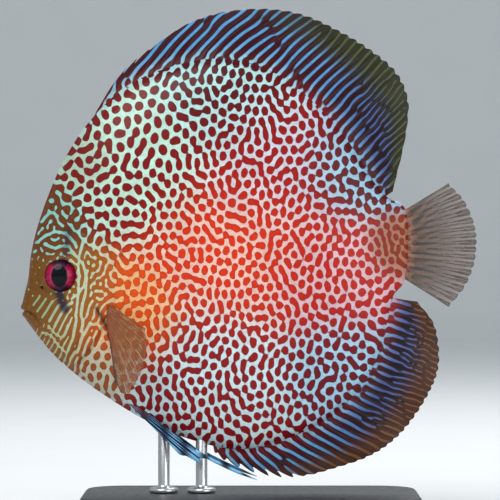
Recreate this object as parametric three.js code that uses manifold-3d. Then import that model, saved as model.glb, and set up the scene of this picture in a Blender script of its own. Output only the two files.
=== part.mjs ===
// A life-size discus fish, 158 mm long and 162 mm tall over its fins, held still on a plain display stand.
// Millimetres, +Z up. The head points to -X, and the origin is under the middle of the stand.
// The fish's shapes are given in its own frame, whose origin is halfway along it at the tail's height.
import * as THREE from "three";
import { mergeVertices } from "three/addons/utils/BufferGeometryUtils.js";
import Module from "manifold-3d";

const wasm = await Module();
wasm.setup();

// Stand
const BASE_LENGTH = 116;
const BASE_WIDTH = 64;
const BASE_HEIGHT = 10;
const BASE_CORNER = 14;
const BASE_BEVEL = 1.2;
const ROD_RADIUS = 2;
const ROD_FOOT_RADIUS = 5;
const ROD_FOOT_HEIGHT = 1.6;
const ROD_DEPTH = 6; // how far a rod goes up into the belly
const ROD_CHAMFER = 0.4; // at its top
const ROD_FILLET = 0.6; // round its foot
const ROD_SIDES = 18;
const ROD_X = { front: -30, rear: -17 };

// Fish, in general
const FIN_CLEARANCE = 5; // from the lowest fin down to the stand's top
const LOWEST_FIN = -80.5;
const FISH_HEIGHT = BASE_HEIGHT + FIN_CLEARANCE - LOWEST_FIN; // of the fish's own origin
const GAP = 0.3; // between two nodes that touch
const RIM = 1.6; // half the thickness of the back's and the belly's edge, where the fins stand
const SNOUT_X = -78.5;
const TAIL_ROOT_X = 53.5;
const CENTRE = { x: -12, z: -3 }; // of the rings that the body is drawn on
const BODY_RINGS = 8;
const EDGE_CROWN = 0.9; // how far the bare edge's middle stands out past its two corners
const SECTION_POWER = 2; // how square the body's cross-section is, up and down
const SECTION_ROUND = 0.6; // how round it is, across

// Side outline of the flesh alone: from the snout over the nape to the tail, and back along the belly.
const OUTLINE = [
  [SNOUT_X, -21.5], [-78, -18], [-76.5, -12], [-75.5, -3.5], [-73.5, 5], [-69.5, 16], [-63, 30], [-55, 42],
  [-42.5, 54], [-28, 60.5], [-12.5, 63.5], [1.5, 61.5], [13.5, 55], [25.5, 44.5], [35, 32.5], [42, 21],
  [47, 15.5], [52, 13], [TAIL_ROOT_X, 0], [52, -12.5], [48.5, -17], [46, -27.5], [41, -42.5], [29, -57],
  [13.5, -65.5], [-4, -69.5], [-21, -66], [-35, -60], [-48.5, -52], [-61.5, -42.5], [-70.5, -34],
  [-75, -28.5], [-77.5, -25],
];

// Where the edge is a flat seat for a fin: over the dorsal and the anal fin's roots, and at the tail.
const DORSAL_SEAT = { x: -60.5, z: 0 };
const ANAL_SEAT = { x: -14, z: -12 };
const CAUDAL_SEAT_X = 50;

// Distances between the outline's stations, from the snout back.
const SPACING = { snout: 2, head: 3.6, side: 5.6, tail: 3.4 };
const SNOUT_TO = -74;
const HEAD_TO = -50;
const SIDE_TO = 44;

// Half the body's width at places along it.
const HALF_WIDTH = [
  [SNOUT_X, RIM], [-77.5, 3.4], [-75.5, 4.8], [-72, 6.2], [-65, 8.5], [-57, 10.8], [-47, 12.6], [-34, 13.4],
  [-18, 12.9], [0, 11], [18, 8.4], [34, 5.6], [44, 3.6], [TAIL_ROOT_X, 1.8],
];

// The tail swings gently to the fish's right.
const SWING_FROM = 26;
const SWING = 0.0028;

// Head
const EYE = { x: -65, z: -10.5, y: 6.2, radius: 5.9, depth: 4.3 };
const ORBIT = { radius: 7.6, depth: 3.4, y: 5.9 };
const GILL_FRONT = [[-58, -2.5], [-58.6, -12], [-58.6, -22], [-60.4, -31], [-63.4, -38.5]];
const GILL_REAR = [[-50.5, 0], [-47.6, -10], [-48.4, -19], [-51.4, -29], [-58.2, -38.8]];
const GILL_RAISED = 0.5;
const GILL_THICKNESS = 1.6;
const GILL_CELLS = { across: 4, down: 12 };
const JAW_LINE = [[-82, -22.6], [-77, -23.2], [-73.6, -25.2], [-71.4, -28.6], [-71.6, -31.6], [-76, -36.5]];
const LIP = {
  radius: 1.25, back: 3.4, side: 3.7, drop: 1.6, sides: 7,
  // The middle of each lip in the side view, and which way and how much its corners turn.
  upper: { x: -76.6, z: -21.3, turned: -1 },
  lower: { x: -75.6, z: -25.1, turned: -0.35 },
  corner: { back: 1.6, side: 0.4, drop: 1.3 }, // how its hidden ends run on into the cheek
};
const NOSTRIL = {
  x: -71.6, z: -14.6, sides: 10,
  radius: 0.55, rim: 1.15, taper: 0.7, deep: 1.4, raised: 0.35,
};
const NECK_CUT = [
  [-66, 40], [-58.4, 32.5], [-53.5, 20], [-50.6, 8], [-49.6, 1], [-46.6, -9.4], [-47.4, -19.4],
  [-50.4, -29.6], [-57.4, -39.8], [-62.5, -48],
];
const STALK_CUT = [[45, 26], [42.4, 15], [42.6, 1], [43.4, -13], [45.4, -21], [53, -28]];

// Fins. Each key ray says where it leaves the body and where its tip is.
const DORSAL = {
  spines: 9, rays: 40, bend: 0.34, rows: 4,
  keys: [
    [-60.5, 34, -59.5, 36.5], [-55.5, 40.5, -51.5, 48], [-50.5, 46.5, -44.5, 59.5], [-45, 51.5, -37, 66],
    [-40, 55, -29.5, 71.5], [-33, 58.5, -20.5, 77], [-24.5, 61.5, -9, 80.5], [-15, 63, 5, 81.5],
    [-3, 63, 18, 79.5], [9.5, 57.5, 30.5, 74], [21, 49.5, 42, 67], [29, 40, 50.5, 59.5], [36, 32, 54.5, 50],
    [39, 27, 54, 40.5], [41.5, 23, 52.5, 32.5], [43.5, 19.5, 50.5, 24.5], [46, 16, 49, 18.5],
  ],
};
const ANAL = {
  spines: 8, rays: 36, bend: 0.3, rows: 4,
  keys: [
    [-13.5, -69.5, -12.5, -71.5], [-10.5, -69.5, -8, -75], [-7, -69.5, -0.5, -78], [-1.5, -69.5, 9.5, -80],
    [4.5, -68.5, 19, -79.5], [11.5, -66, 29, -77], [19.5, -63, 39.5, -73.5], [27, -58.5, 48, -68.5],
    [34, -52.5, 55, -61.5], [40.5, -44, 61.5, -51.5], [44.5, -35.5, 65, -42.5], [46.5, -29.5, 65, -34],
    [47.5, -23, 63, -26.5], [48.5, -18, 57.5, -19.5],
  ],
};
const CAUDAL = {
  spines: 0, rays: 16, bend: 0, rows: 4,
  keys: [
    [52, 11.6, 68.5, 21.5], [53, 8, 74, 15.5], [53.3, 4, 77.5, 8], [TAIL_ROOT_X, 0, 78.5, 0.5],
    [53.3, -4, 77.5, -7], [53, -8, 74, -15], [52.3, -11.2, 68.5, -21.5],
  ],
};
const MEDIAN_THICKNESS = { root: 2 * RIM, skin: 0.6, edge: 0.5, ray: 1.3, tip: 0.7, fleshy: 0.22 };
const PECTORAL = {
  root: [[-49.2, -19.8], [-48.4, -28.8]], flare: 38, rays: 11, rows: 4, sink: 1.6, spring: 0.9,
  tips: [[-35.5, -28], [-35.2, -36], [-37.2, -43.5], [-41.5, -50], [-45.6, -47]],
};
const PELVIC = {
  root: [[-43, -54.4], [-36.8, -57.4]], rows: 5, sink: 0.7,
  y: [2.6, 7.4], // from the middle of the fish, at the root and at spread behind it
  spread: 30,
  bow: 0.8,
  // Each ray's tip and how steeply it leaves the belly, in degrees. The first is the spine.
  rays: [
    [-24.5, -71.8, 43], [-17.5, -74.8, 41], [-15.5, -73, 39], [-18.5, -70.8, 37], [-22, -68.2, 35],
    [-26.5, -65.4, 33],
  ],
  filament: { from: 0.55, tip: [2, -80.3], rows: 6, width: 1.1, end: 0.6 },
};
const PAIRED_THICKNESS = { root: 2, skin: 0.6, edge: 0.5, ray: 1.1, tip: 0.6, fleshy: 0.3 };
const THREAD_THICKNESS = { ...PAIRED_THICKNESS, root: 0.8, fleshy: 0.01 };
const RIDGE_FOOT = 0.2; // of the way to the next ray, where a ridge ends
const SPINE_SHOWN = 0.1; // of a spine, past the skin between the spines

// A smooth curve y(x) through points, as a cubic between each two.
function curveThrough(points) {
  const slope = points.map((p, i) => {
    const before = points[Math.max(0, i - 1)];
    const after = points[Math.min(points.length - 1, i + 1)];
    return (after[1] - before[1]) / (after[0] - before[0]);
  });
  return (x) => {
    let i = points.findIndex((p) => p[0] > x) - 1;
    if (i === -2) i = points.length - 2;
    i = Math.max(0, i);
    const [x0, y0] = points[i];
    const [x1, y1] = points[i + 1];
    const w = x1 - x0;
    const t = Math.min(1, Math.max(0, (x - x0) / w));
    const s = 1 - t;
    const ends = s * s * (1 + 2 * t) * y0 + t * t * (3 - 2 * t) * y1;
    return ends + t * s * w * (s * slope[i] - t * slope[i + 1]);
  };
}

const lerp = (a, b, t) => a + (b - a) * t;
const swing = (x) => SWING * Math.max(0, x - SWING_FROM) ** 2;
const widthAt = curveThrough(HALF_WIDTH);

// The outline as a dense line, cut at the snout and the tail root into a back and a belly.
const outlineCurve = new THREE.CatmullRomCurve3(
  OUTLINE.map(([x, z]) => new THREE.Vector3(x, 0, z)), true, "centripetal",
);
const dense = outlineCurve.getPoints(660);
const snoutIndex = dense.reduce((best, p, i) => (p.x < dense[best].x ? i : best), 0);
const tailIndex = dense.reduce((best, p, i) => (p.x > dense[best].x ? i : best), 0);
const back = [];
for (let i = snoutIndex; i !== tailIndex; i = (i + 1) % (dense.length - 1)) back.push(dense[i]);
back.push(dense[tailIndex]);
const belly = [];
for (let i = tailIndex; i !== snoutIndex; i = (i + 1) % (dense.length - 1)) belly.unshift(dense[i]);
belly.unshift(dense[snoutIndex]);

function heightOn(line, x) {
  let low = 0;
  let high = line.length - 1;
  while (high - low > 1) {
    const middle = (low + high) >> 1;
    if (line[middle].x > x) high = middle;
    else low = middle;
  }
  const t = Math.min(1, Math.max(0, (x - line[low].x) / (line[high].x - line[low].x || 1)));
  return lerp(line[low].z, line[high].z, t);
}

// Half the thickness of the flesh at a place in the side view.
function fleshAt(x, z) {
  const top = heightOn(back, x);
  const bottom = heightOn(belly, x);
  const level = Math.min(1, Math.abs((2 * z - top - bottom) / Math.max(1e-6, top - bottom)));
  const round = Math.max(0, 1 - level ** SECTION_POWER) ** SECTION_ROUND;
  return RIM + (widthAt(x) - RIM) * round;
}

// A closed surface from vertices and triangles, as a solid.
function solidFrom(vertices, triangles) {
  const geometry = new THREE.BufferGeometry();
  geometry.setAttribute("position", new THREE.Float32BufferAttribute(vertices.flat(), 3));
  geometry.setIndex(triangles.flat());
  return solidOf(geometry);
}

function solidOf(geometry) {
  const plain = geometry.clone();
  plain.deleteAttribute("normal");
  plain.deleteAttribute("uv");
  const merged = mergeVertices(plain, 1e-3);
  const mesh = {
    numProp: 3,
    vertProperties: merged.attributes.position.array,
    triVerts: new Uint32Array(merged.index.array),
  };
  const made = new wasm.Manifold(new wasm.Mesh(mesh));
  if (made.volume() >= 0) return made;
  for (let i = 0; i < mesh.triVerts.length; i += 3) {
    [mesh.triVerts[i + 1], mesh.triVerts[i + 2]] = [mesh.triVerts[i + 2], mesh.triVerts[i + 1]];
  }
  return new wasm.Manifold(new wasm.Mesh(mesh));
}

// The largest closed surface of a solid.
function largest(solid) {
  return solid.decompose().reduce((a, b) => (b.volume() > a.volume() ? b : a));
}

// Points of the outline, closer together round the snout and the head than elsewhere.
function outlineStations() {
  const lengths = [0];
  for (let i = 1; i < dense.length; i++) {
    const x = dense[i].x;
    let step = SPACING.tail;
    if (x < SNOUT_TO) step = SPACING.snout;
    else if (x < HEAD_TO) step = SPACING.head;
    else if (x < SIDE_TO) step = SPACING.side;
    lengths.push(lengths[i - 1] + dense[i].distanceTo(dense[i - 1]) / step);
  }
  const count = Math.round(lengths.at(-1));
  const stations = [];
  for (let k = 0, i = 0; k < count; k++) {
    const wanted = (lengths.at(-1) * k) / count;
    while (lengths[i + 1] < wanted) i++;
    const t = (wanted - lengths[i]) / (lengths[i + 1] - lengths[i]);
    const point = dense[i].clone().lerp(dense[i + 1], t);
    const along = dense[i + 1].clone().sub(dense[i]).normalize();
    stations.push({ x: point.x, z: point.z, nx: -along.z, nz: along.x });
  }
  return stations;
}
const stations = outlineStations();

function crownAt(x, z) {
  const underDorsal = z > DORSAL_SEAT.z && x > DORSAL_SEAT.x;
  const underAnal = z < ANAL_SEAT.z && x > ANAL_SEAT.x;
  return underDorsal || underAnal || x > CAUDAL_SEAT_X ? 0 : EDGE_CROWN;
}

// The whole of the flesh, or a copy that is larger all round by grow.
function body(grow = 0) {
  const vertices = [];
  const triangles = [];
  const count = stations.length;
  const ringStart = (side, ring) => side * (1 + BODY_RINGS * count) + 1 + (ring - 1) * count;
  for (const side of [0, 1]) {
    const sign = side ? 1 : -1;
    const put = (x, z) => vertices.push([x, sign * (fleshAt(x, z) + grow) + swing(x), z]);
    put(CENTRE.x, CENTRE.z);
    for (let ring = 1; ring <= BODY_RINGS; ring++) {
      const share = Math.sin(((ring / BODY_RINGS) * Math.PI) / 2);
      for (const s of stations) {
        const x = lerp(CENTRE.x, s.x, share);
        const z = lerp(CENTRE.z, s.z, share);
        vertices.push([
          x + grow * share * s.nx,
          sign * ((ring === BODY_RINGS ? RIM : fleshAt(x, z)) + grow) + swing(x),
          z + grow * share * s.nz,
        ]);
      }
    }
  }
  const middle = vertices.length;
  for (const s of stations) {
    const out = crownAt(s.x, s.z) + grow;
    vertices.push([s.x + out * s.nx, swing(s.x), s.z + out * s.nz]);
  }
  const quad = (a, b, c, d, flip) => {
    if (flip) triangles.push([a, c, b], [a, d, c]);
    else triangles.push([a, b, c], [a, c, d]);
  };
  for (const side of [0, 1]) {
    const flip = side === 1;
    const hub = ringStart(side, 1) - 1;
    for (let i = 0; i < count; i++) {
      const j = (i + 1) % count;
      const first = ringStart(side, 1);
      triangles.push(flip ? [hub, first + j, first + i] : [hub, first + i, first + j]);
      for (let ring = 1; ring < BODY_RINGS; ring++) {
        const a = ringStart(side, ring);
        const b = ringStart(side, ring + 1);
        quad(a + i, b + i, b + j, a + j, flip);
      }
      const rim = ringStart(side, BODY_RINGS);
      quad(rim + i, middle + i, middle + j, rim + j, flip);
    }
  }
  return solidFrom(vertices, triangles);
}

// A prism through the fish from side to side, over an area of the side view.
function prism(area, depth = 80) {
  const shape = new THREE.Shape(area.map(([x, z]) => new THREE.Vector2(x, z)));
  const geometry = new THREE.ExtrudeGeometry(shape, { depth, bevelEnabled: false });
  geometry.rotateX(Math.PI / 2).translate(0, depth / 2, 0);
  return solidOf(geometry);
}

// A thin cut through the fish along a line of the side view.
function slit(line) {
  const curve = new THREE.SplineCurve(line.map(([x, z]) => new THREE.Vector2(x, z)));
  const points = curve.getPoints(line.length * 2);
  const sides = [1, -1].map((sign) =>
    points.map((p, i) => {
      const after = points[Math.min(i + 1, points.length - 1)];
      const along = after.clone().sub(points[Math.max(i - 1, 0)]).normalize();
      return [p.x - (sign * along.y * GAP) / 2, p.y + (sign * along.x * GAP) / 2];
    }),
  );
  return prism([...sides[0], ...sides[1].reverse()]);
}

// A vane with a ridge along each ray. rays[j](v) is a point of the sheet, out of is the sheet's normal there.
function vane(rays, outOf, thickness, rows, spines = 0) {
  const columns = [];
  rays.forEach((ray, j) => {
    const next = rays[j + 1];
    const before = rays[j - 1];
    const foot = (other, v) => {
      const away = j > 0 ? before : next;
      return other ? ray(v).lerp(other(v), RIDGE_FOOT) : ray(v).lerp(away(v), -RIDGE_FOOT);
    };
    const reach = j < spines ? 1 - SPINE_SHOWN : 1;
    columns.push({ at: (v) => foot(before, v * reach), ridge: 0 });
    columns.push({ at: (v) => ray(v), ridge: 1 });
    columns.push({ at: (v) => foot(next, v * reach), ridge: 0 });
  });
  const vertices = [];
  for (const sign of [-1, 1]) {
    for (const column of columns) {
      for (let k = 0; k <= rows; k++) {
        const v = k / rows;
        const flesh = Math.max(0, 1 - v / thickness.fleshy) ** 1.5;
        const { skin: thinnest, edge, ray, tip } = thickness;
        const thin = column.ridge ? lerp(ray, tip, v) : lerp(thinnest, edge, v);
        const point = column.at(v);
        const half = lerp(thin, thickness.root, flesh) / 2;
        vertices.push(point.addScaledVector(outOf(point, v), sign * half).toArray());
      }
    }
  }
  const triangles = [];
  const face = columns.length * (rows + 1);
  const id = (side, c, k) => side * face + c * (rows + 1) + k;
  const quad = (a, b, c, d) => triangles.push([a, b, c], [a, c, d]);
  for (let c = 0; c + 1 < columns.length; c++) {
    for (let k = 0; k < rows; k++) {
      const [p, q, r, s] = [[c, k], [c + 1, k], [c + 1, k + 1], [c, k + 1]];
      triangles.push([id(0, ...p), id(0, ...q), id(0, ...r)], [id(0, ...p), id(0, ...r), id(0, ...s)]);
      triangles.push([id(1, ...p), id(1, ...r), id(1, ...q)], [id(1, ...p), id(1, ...s), id(1, ...r)]);
    }
    quad(id(0, c, 0), id(1, c, 0), id(1, c + 1, 0), id(0, c + 1, 0));
    quad(id(0, c, rows), id(0, c + 1, rows), id(1, c + 1, rows), id(1, c, rows));
  }
  const last = columns.length - 1;
  for (let k = 0; k < rows; k++) {
    quad(id(0, 0, k), id(0, 0, k + 1), id(1, 0, k + 1), id(1, 0, k));
    quad(id(0, last, k), id(1, last, k), id(1, last, k + 1), id(0, last, k + 1));
  }
  return solidFrom(vertices, triangles);
}

// A curve through points that are evenly numbered from 0 to 1.
function spread(points) {
  const curve = new THREE.CatmullRomCurve3(points.map((p) => new THREE.Vector3(...p)), false, "centripetal");
  return (s) => curve.getPoint(Math.min(1, Math.max(0, s)));
}

// The place along the outline nearest to a point, and the outward normal there.
function seatNear(x, z) {
  let best = 0;
  dense.forEach((p, i) => {
    if (Math.hypot(p.x - x, p.z - z) < Math.hypot(dense[best].x - x, dense[best].z - z)) best = i;
  });
  const from = dense[best === 0 ? dense.length - 2 : best - 1];
  const to = dense[best === dense.length - 1 ? 1 : best + 1];
  const along = to.clone().sub(from).normalize();
  return { x: dense[best].x, z: dense[best].z, nx: -along.z, nz: along.x };
}

// A fin of the middle line, whose root lies on the body's edge.
function medianFin({ keys, rays, spines, bend, rows }) {
  const roots = keys.map(([x, z]) => seatNear(x, z));
  const lengths = [0];
  for (let i = 1; i < roots.length; i++) {
    lengths.push(lengths[i - 1] + Math.hypot(roots[i].x - roots[i - 1].x, roots[i].z - roots[i - 1].z));
  }
  const share = lengths.map((l) => l / lengths.at(-1));
  const column = (values) => curveThrough(values.map((value, i) => [share[i], value]));
  const rootX = column(roots.map((r) => r.x));
  const rootZ = column(roots.map((r) => r.z));
  const tipX = column(keys.map((k) => k[2]));
  const tipZ = column(keys.map((k) => k[3]));
  const made = [];
  for (let j = 0; j < rays; j++) {
    const s = j / (rays - 1);
    const seat = seatNear(rootX(s), rootZ(s));
    const root = new THREE.Vector3(seat.x + GAP * seat.nx, 0, seat.z + GAP * seat.nz);
    const tip = new THREE.Vector3(tipX(s), 0, tipZ(s));
    const reach = root.distanceTo(tip);
    const knee = root.clone().lerp(tip, 0.5 - bend / 4);
    knee.x += bend * reach * 0.5 * (seat.nx - (tip.x - root.x) / reach);
    knee.z += bend * reach * 0.5 * (seat.nz - (tip.z - root.z) / reach);
    const curve = new THREE.QuadraticBezierCurve3(root, knee, tip);
    made.push((v) => {
      const p = curve.getPoint(v);
      p.y = swing(p.x);
      return p;
    });
  }
  const across = new THREE.Vector3(0, 1, 0);
  return vane(made, () => across, MEDIAN_THICKNESS, rows, spines);
}

// A fin of one side, which starts inside the body and is cut to sit on it. side is -1 for the fish's left.
function pairedFin(side, rayOf, count, rows, skin) {
  const made = [];
  for (let j = 0; j < count; j++) made.push(rayOf(j / (count - 1)));
  const a = made[0](1).sub(made[0](0));
  const b = made.at(-1)(1).sub(made.at(-1)(0));
  const normal = a.cross(b).normalize();
  const sheet = vane(made, () => normal, PAIRED_THICKNESS, rows);
  return largest(sheet.subtract(skin));
}

function pectoralRay(side) {
  const [upper, lower] = PECTORAL.root;
  const tip = spread(PECTORAL.tips.map(([x, z]) => [x, 0, z]));
  const flare = THREE.MathUtils.degToRad(PECTORAL.flare);
  return (s) => {
    const x = lerp(upper[0], lower[0], s);
    const z = lerp(upper[1], lower[1], s);
    const surface = fleshAt(x, z);
    const end = tip(s);
    const shown = Math.hypot(end.x - x, end.z - z);
    return (v) => {
      const out = surface - PECTORAL.sink + (shown * Math.tan(flare) + PECTORAL.sink) * v ** PECTORAL.spring;
      return new THREE.Vector3(lerp(x, end.x, v), side * out, lerp(z, end.z, v));
    };
  };
}

// The pelvic fin's rays fan down and back from the belly. A thread runs on from the first soft one.
function pelvicFin(side, skin) {
  const [front, rear] = PELVIC.root;
  const curveTo = (root, tip, steep) => {
    const reach = Math.hypot(tip[0] - root[0], tip[1] - root[1]);
    const down = THREE.MathUtils.degToRad(steep);
    const knee = [root[0] + 0.5 * reach * Math.cos(down), root[1] - 0.5 * reach * Math.sin(down)];
    const ends = [root, knee, tip].map(([x, z]) => new THREE.Vector2(x, z));
    const curve = new THREE.QuadraticBezierCurve(...ends);
    return (v) => {
      const p = curve.getPoint(v);
      const away = THREE.MathUtils.clamp((p.x - front[0]) / PELVIC.spread, 0, 1);
      return new THREE.Vector3(p.x, side * lerp(PELVIC.y[0], PELVIC.y[1], away ** PELVIC.bow), p.y);
    };
  };
  const roots = PELVIC.rays.map((_, i) => {
    const s = i / (PELVIC.rays.length - 1);
    return [lerp(front[0], rear[0], s), lerp(front[1], rear[1], s) + PELVIC.sink];
  });
  const rays = PELVIC.rays.map(([x, z, steep], i) => curveTo(roots[i], [x, z], steep));
  const across = new THREE.Vector3(0, side, 0);
  const sheet = vane(rays, () => across, PAIRED_THICKNESS, PELVIC.rows);

  const { from, tip, rows, width, end } = PELVIC.filament;
  const thread = curveTo(roots[1], tip, PELVIC.rays[1][2]);
  const edge = (offset) => (v) => {
    const p = thread(lerp(from, 1, v));
    p.z += (offset * lerp(width, end, v)) / 2;
    return p;
  };
  const strip = vane([edge(-1), edge(1)], () => across, THREAD_THICKNESS, rows);
  return largest(sheet.subtract(skin).add(strip));
}

// One gill cover, as a curved plate on the cheek. more is the room left round it in the head.
function gillCover(side, more = 0) {
  const front = new THREE.SplineCurve(GILL_FRONT.map(([x, z]) => new THREE.Vector2(x, z)));
  const rear = new THREE.SplineCurve(GILL_REAR.map(([x, z]) => new THREE.Vector2(x, z)));
  const { across, down } = GILL_CELLS;
  const vertices = [];
  for (const deep of [0, 1]) {
    for (let i = 0; i <= across; i++) {
      for (let j = 0; j <= down; j++) {
        const u = i / across;
        const v = j / down;
        const a = front.getPoint(v);
        const b = rear.getPoint(v);
        const grown = more / Math.max(2, a.distanceTo(b));
        const p = a.clone().lerp(b, lerp(-grown, 1 + grown, u));
        p.y += lerp(more, -more, v);
        const rise = GILL_RAISED * Math.sin((u * Math.PI) / 2) + (more ? 2 : 0);
        const y = deep ? fleshAt(p.x, p.y) - GILL_THICKNESS + GILL_RAISED - more : fleshAt(p.x, p.y) + rise;
        vertices.push([p.x, side * y, p.y]);
      }
    }
  }
  const id = (deep, i, j) => deep * (across + 1) * (down + 1) + i * (down + 1) + j;
  const triangles = [];
  const quad = (a, b, c, d) => triangles.push([a, b, c], [a, c, d]);
  for (let i = 0; i < across; i++) {
    for (let j = 0; j < down; j++) {
      quad(id(0, i, j), id(0, i + 1, j), id(0, i + 1, j + 1), id(0, i, j + 1));
      quad(id(1, i, j), id(1, i, j + 1), id(1, i + 1, j + 1), id(1, i + 1, j));
    }
    quad(id(0, i, 0), id(1, i, 0), id(1, i + 1, 0), id(0, i + 1, 0));
    quad(id(0, i, down), id(0, i + 1, down), id(1, i + 1, down), id(1, i, down));
  }
  for (let j = 0; j < down; j++) {
    quad(id(0, 0, j), id(0, 0, j + 1), id(1, 0, j + 1), id(1, 0, j));
    quad(id(0, across, j), id(1, across, j), id(1, across, j + 1), id(0, across, j + 1));
  }
  return solidFrom(vertices, triangles);
}

function ellipsoid(x, y, z, across, deep, segments, rings) {
  const geometry = new THREE.SphereGeometry(1, segments, rings);
  geometry.scale(across, deep, across).translate(x, y, z);
  return solidOf(geometry);
}

// A lip: a round bead from one corner of the mouth round the front to the other.
function lip({ x, z, turned }) {
  const { radius, back: deep, side, drop, corner, sides } = LIP;
  // From the middle to one end: how far back, out to the side and down.
  const half = [
    [0.2 * deep, 0.62 * side, 0.25 * drop],
    [deep, side, drop],
    [deep + corner.back, side + corner.side, corner.drop * drop],
  ];
  const bend = (sign) => half.map(([a, b, c]) => new THREE.Vector3(x + a, sign * b, z + turned * c));
  const path = new THREE.CatmullRomCurve3([...bend(-1).reverse(), new THREE.Vector3(x, 0, z), ...bend(1)]);
  const section = new THREE.Shape(new THREE.EllipseCurve(0, 0, radius, radius).getPoints(sides));
  return solidOf(new THREE.ExtrudeGeometry(section, { steps: 10, extrudePath: path, bevelEnabled: false }));
}

// A nostril's raised ring and its pit.
function nostril(side) {
  const surface = fleshAt(NOSTRIL.x, NOSTRIL.z);
  const make = (outer, inner, low, high) => {
    const geometry = new THREE.CylinderGeometry(outer, inner, high - low, NOSTRIL.sides);
    if (side < 0) geometry.rotateX(Math.PI);
    geometry.translate(NOSTRIL.x, side * (surface + (low + high) / 2), NOSTRIL.z);
    return solidOf(geometry);
  };
  const { radius, rim, taper, deep, raised } = NOSTRIL;
  return { ring: make(rim * taper, rim, -deep / 2, raised), pit: make(radius, radius, -deep, deep) };
}

// A rod, from the stand's top up into the belly, with a flat foot.
function rod(x) {
  const top = heightOn(belly, x) + ROD_DEPTH + FISH_HEIGHT;
  const low = BASE_HEIGHT + GAP;
  const outline = [
    [0, low], [ROD_FOOT_RADIUS, low], [ROD_FOOT_RADIUS, low + ROD_FOOT_HEIGHT - ROD_FILLET],
    [ROD_FOOT_RADIUS - ROD_FILLET, low + ROD_FOOT_HEIGHT], [ROD_RADIUS + ROD_FILLET, low + ROD_FOOT_HEIGHT],
    [ROD_RADIUS, low + ROD_FOOT_HEIGHT + ROD_FILLET], [ROD_RADIUS, top - ROD_CHAMFER],
    [ROD_RADIUS - ROD_CHAMFER, top], [0, top],
  ];
  const geometry = new THREE.LatheGeometry(outline.map(([r, z]) => new THREE.Vector2(r, z)), ROD_SIDES);
  geometry.rotateX(Math.PI / 2).translate(x, 0, 0);
  return solidOf(geometry);
}

// The hole in the belly for a rod, in the fish's frame.
function rodHole(x) {
  const bottom = heightOn(belly, x);
  const tall = 2 * ROD_DEPTH;
  const geometry = new THREE.CylinderGeometry(ROD_RADIUS + GAP, ROD_RADIUS + GAP, tall, ROD_SIDES);
  geometry.rotateX(Math.PI / 2).translate(x, 0, bottom + ROD_DEPTH + GAP - tall / 2);
  return solidOf(geometry);
}

function standBase() {
  const a = BASE_LENGTH / 2 - BASE_BEVEL;
  const b = BASE_WIDTH / 2 - BASE_BEVEL;
  const r = BASE_CORNER - BASE_BEVEL;
  const shape = new THREE.Shape();
  shape.moveTo(-a + r, -b);
  shape.lineTo(a - r, -b);
  shape.absarc(a - r, -b + r, r, -Math.PI / 2, 0);
  shape.absarc(a - r, b - r, r, 0, Math.PI / 2);
  shape.absarc(-a + r, b - r, r, Math.PI / 2, Math.PI);
  shape.absarc(-a + r, -b + r, r, Math.PI, Math.PI * 1.5);
  const bevel = { bevelThickness: BASE_BEVEL, bevelSize: BASE_BEVEL, bevelSegments: 2 };
  const depth = BASE_HEIGHT - 2 * BASE_BEVEL;
  const geometry = new THREE.ExtrudeGeometry(shape, { depth, curveSegments: 6, ...bevel });
  geometry.translate(0, 0, BASE_BEVEL);
  return solidOf(geometry);
}

// The body cut into head, trunk and tail stalk, with the face's forms and the rods' holes.
function buildFlesh() {
  const middleX = (p) => (p.boundingBox().min[0] + p.boundingBox().max[0]) / 2;
  const pieces = body().subtract(slit(NECK_CUT)).subtract(slit(STALK_CUT)).decompose();
  let [head, trunk, tailStalk] = pieces.sort((p, q) => middleX(p) - middleX(q));
  for (const x of Object.values(ROD_X)) trunk = trunk.subtract(rodHole(x));

  for (const side of [-1, 1]) {
    const { x, z } = EYE;
    head = head.add(ellipsoid(x, side * ORBIT.y, z, ORBIT.radius, ORBIT.depth, 18, 8));
  }
  head = head.add(lip(LIP.upper)).add(lip(LIP.lower)).subtract(slit(JAW_LINE));
  for (const side of [-1, 1]) {
    head = head.subtract(ellipsoid(EYE.x, side * EYE.y, EYE.z, EYE.radius + GAP, EYE.depth + GAP, 20, 10));
    head = head.subtract(gillCover(side, GAP));
    const nose = nostril(side);
    head = head.add(nose.ring).subtract(nose.pit);
  }
  const headPieces = head.decompose().sort((p, q) => q.volume() - p.volume());
  return { head: headPieces[0], lowerJaw: headPieces[1], trunk: largest(trunk), tailStalk };
}

const FINISH = {
  skin: { color: 0xd8603a, roughness: 0.45, metalness: 0 },
  face: { color: 0xa8622c, roughness: 0.45, metalness: 0 },
  fin: { color: 0x6a4a6a, roughness: 0.5, metalness: 0 },
  clearFin: { color: 0xa88468, roughness: 0.5, metalness: 0 },
  eye: { color: 0x8c1240, roughness: 0.15, metalness: 0 },
  base: { color: 0x2a2a2c, roughness: 0.4, metalness: 0 },
  rod: { color: 0xb8babd, roughness: 0.3, metalness: 1 },
};

// Cuts leave slivers, so points closer together than this become one.
const SLIVER = 0.02;

function meshOf(name, solid, finish) {
  const { vertProperties, triVerts } = solid.getMesh();
  const cut = new THREE.BufferGeometry();
  cut.setAttribute("position", new THREE.BufferAttribute(vertProperties, 3));
  cut.setIndex(new THREE.BufferAttribute(triVerts, 1));
  const geometry = mergeVertices(cut, SLIVER);
  const corners = geometry.index.array;
  const kept = [];
  for (let i = 0; i < corners.length; i += 3) {
    const [a, b, c] = corners.slice(i, i + 3);
    if (a !== b && b !== c && c !== a) kept.push(a, b, c);
  }
  geometry.setIndex(kept);
  geometry.computeVertexNormals();
  const mesh = new THREE.Mesh(geometry, new THREE.MeshStandardMaterial(finish));
  mesh.name = name;
  return mesh;
}

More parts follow.
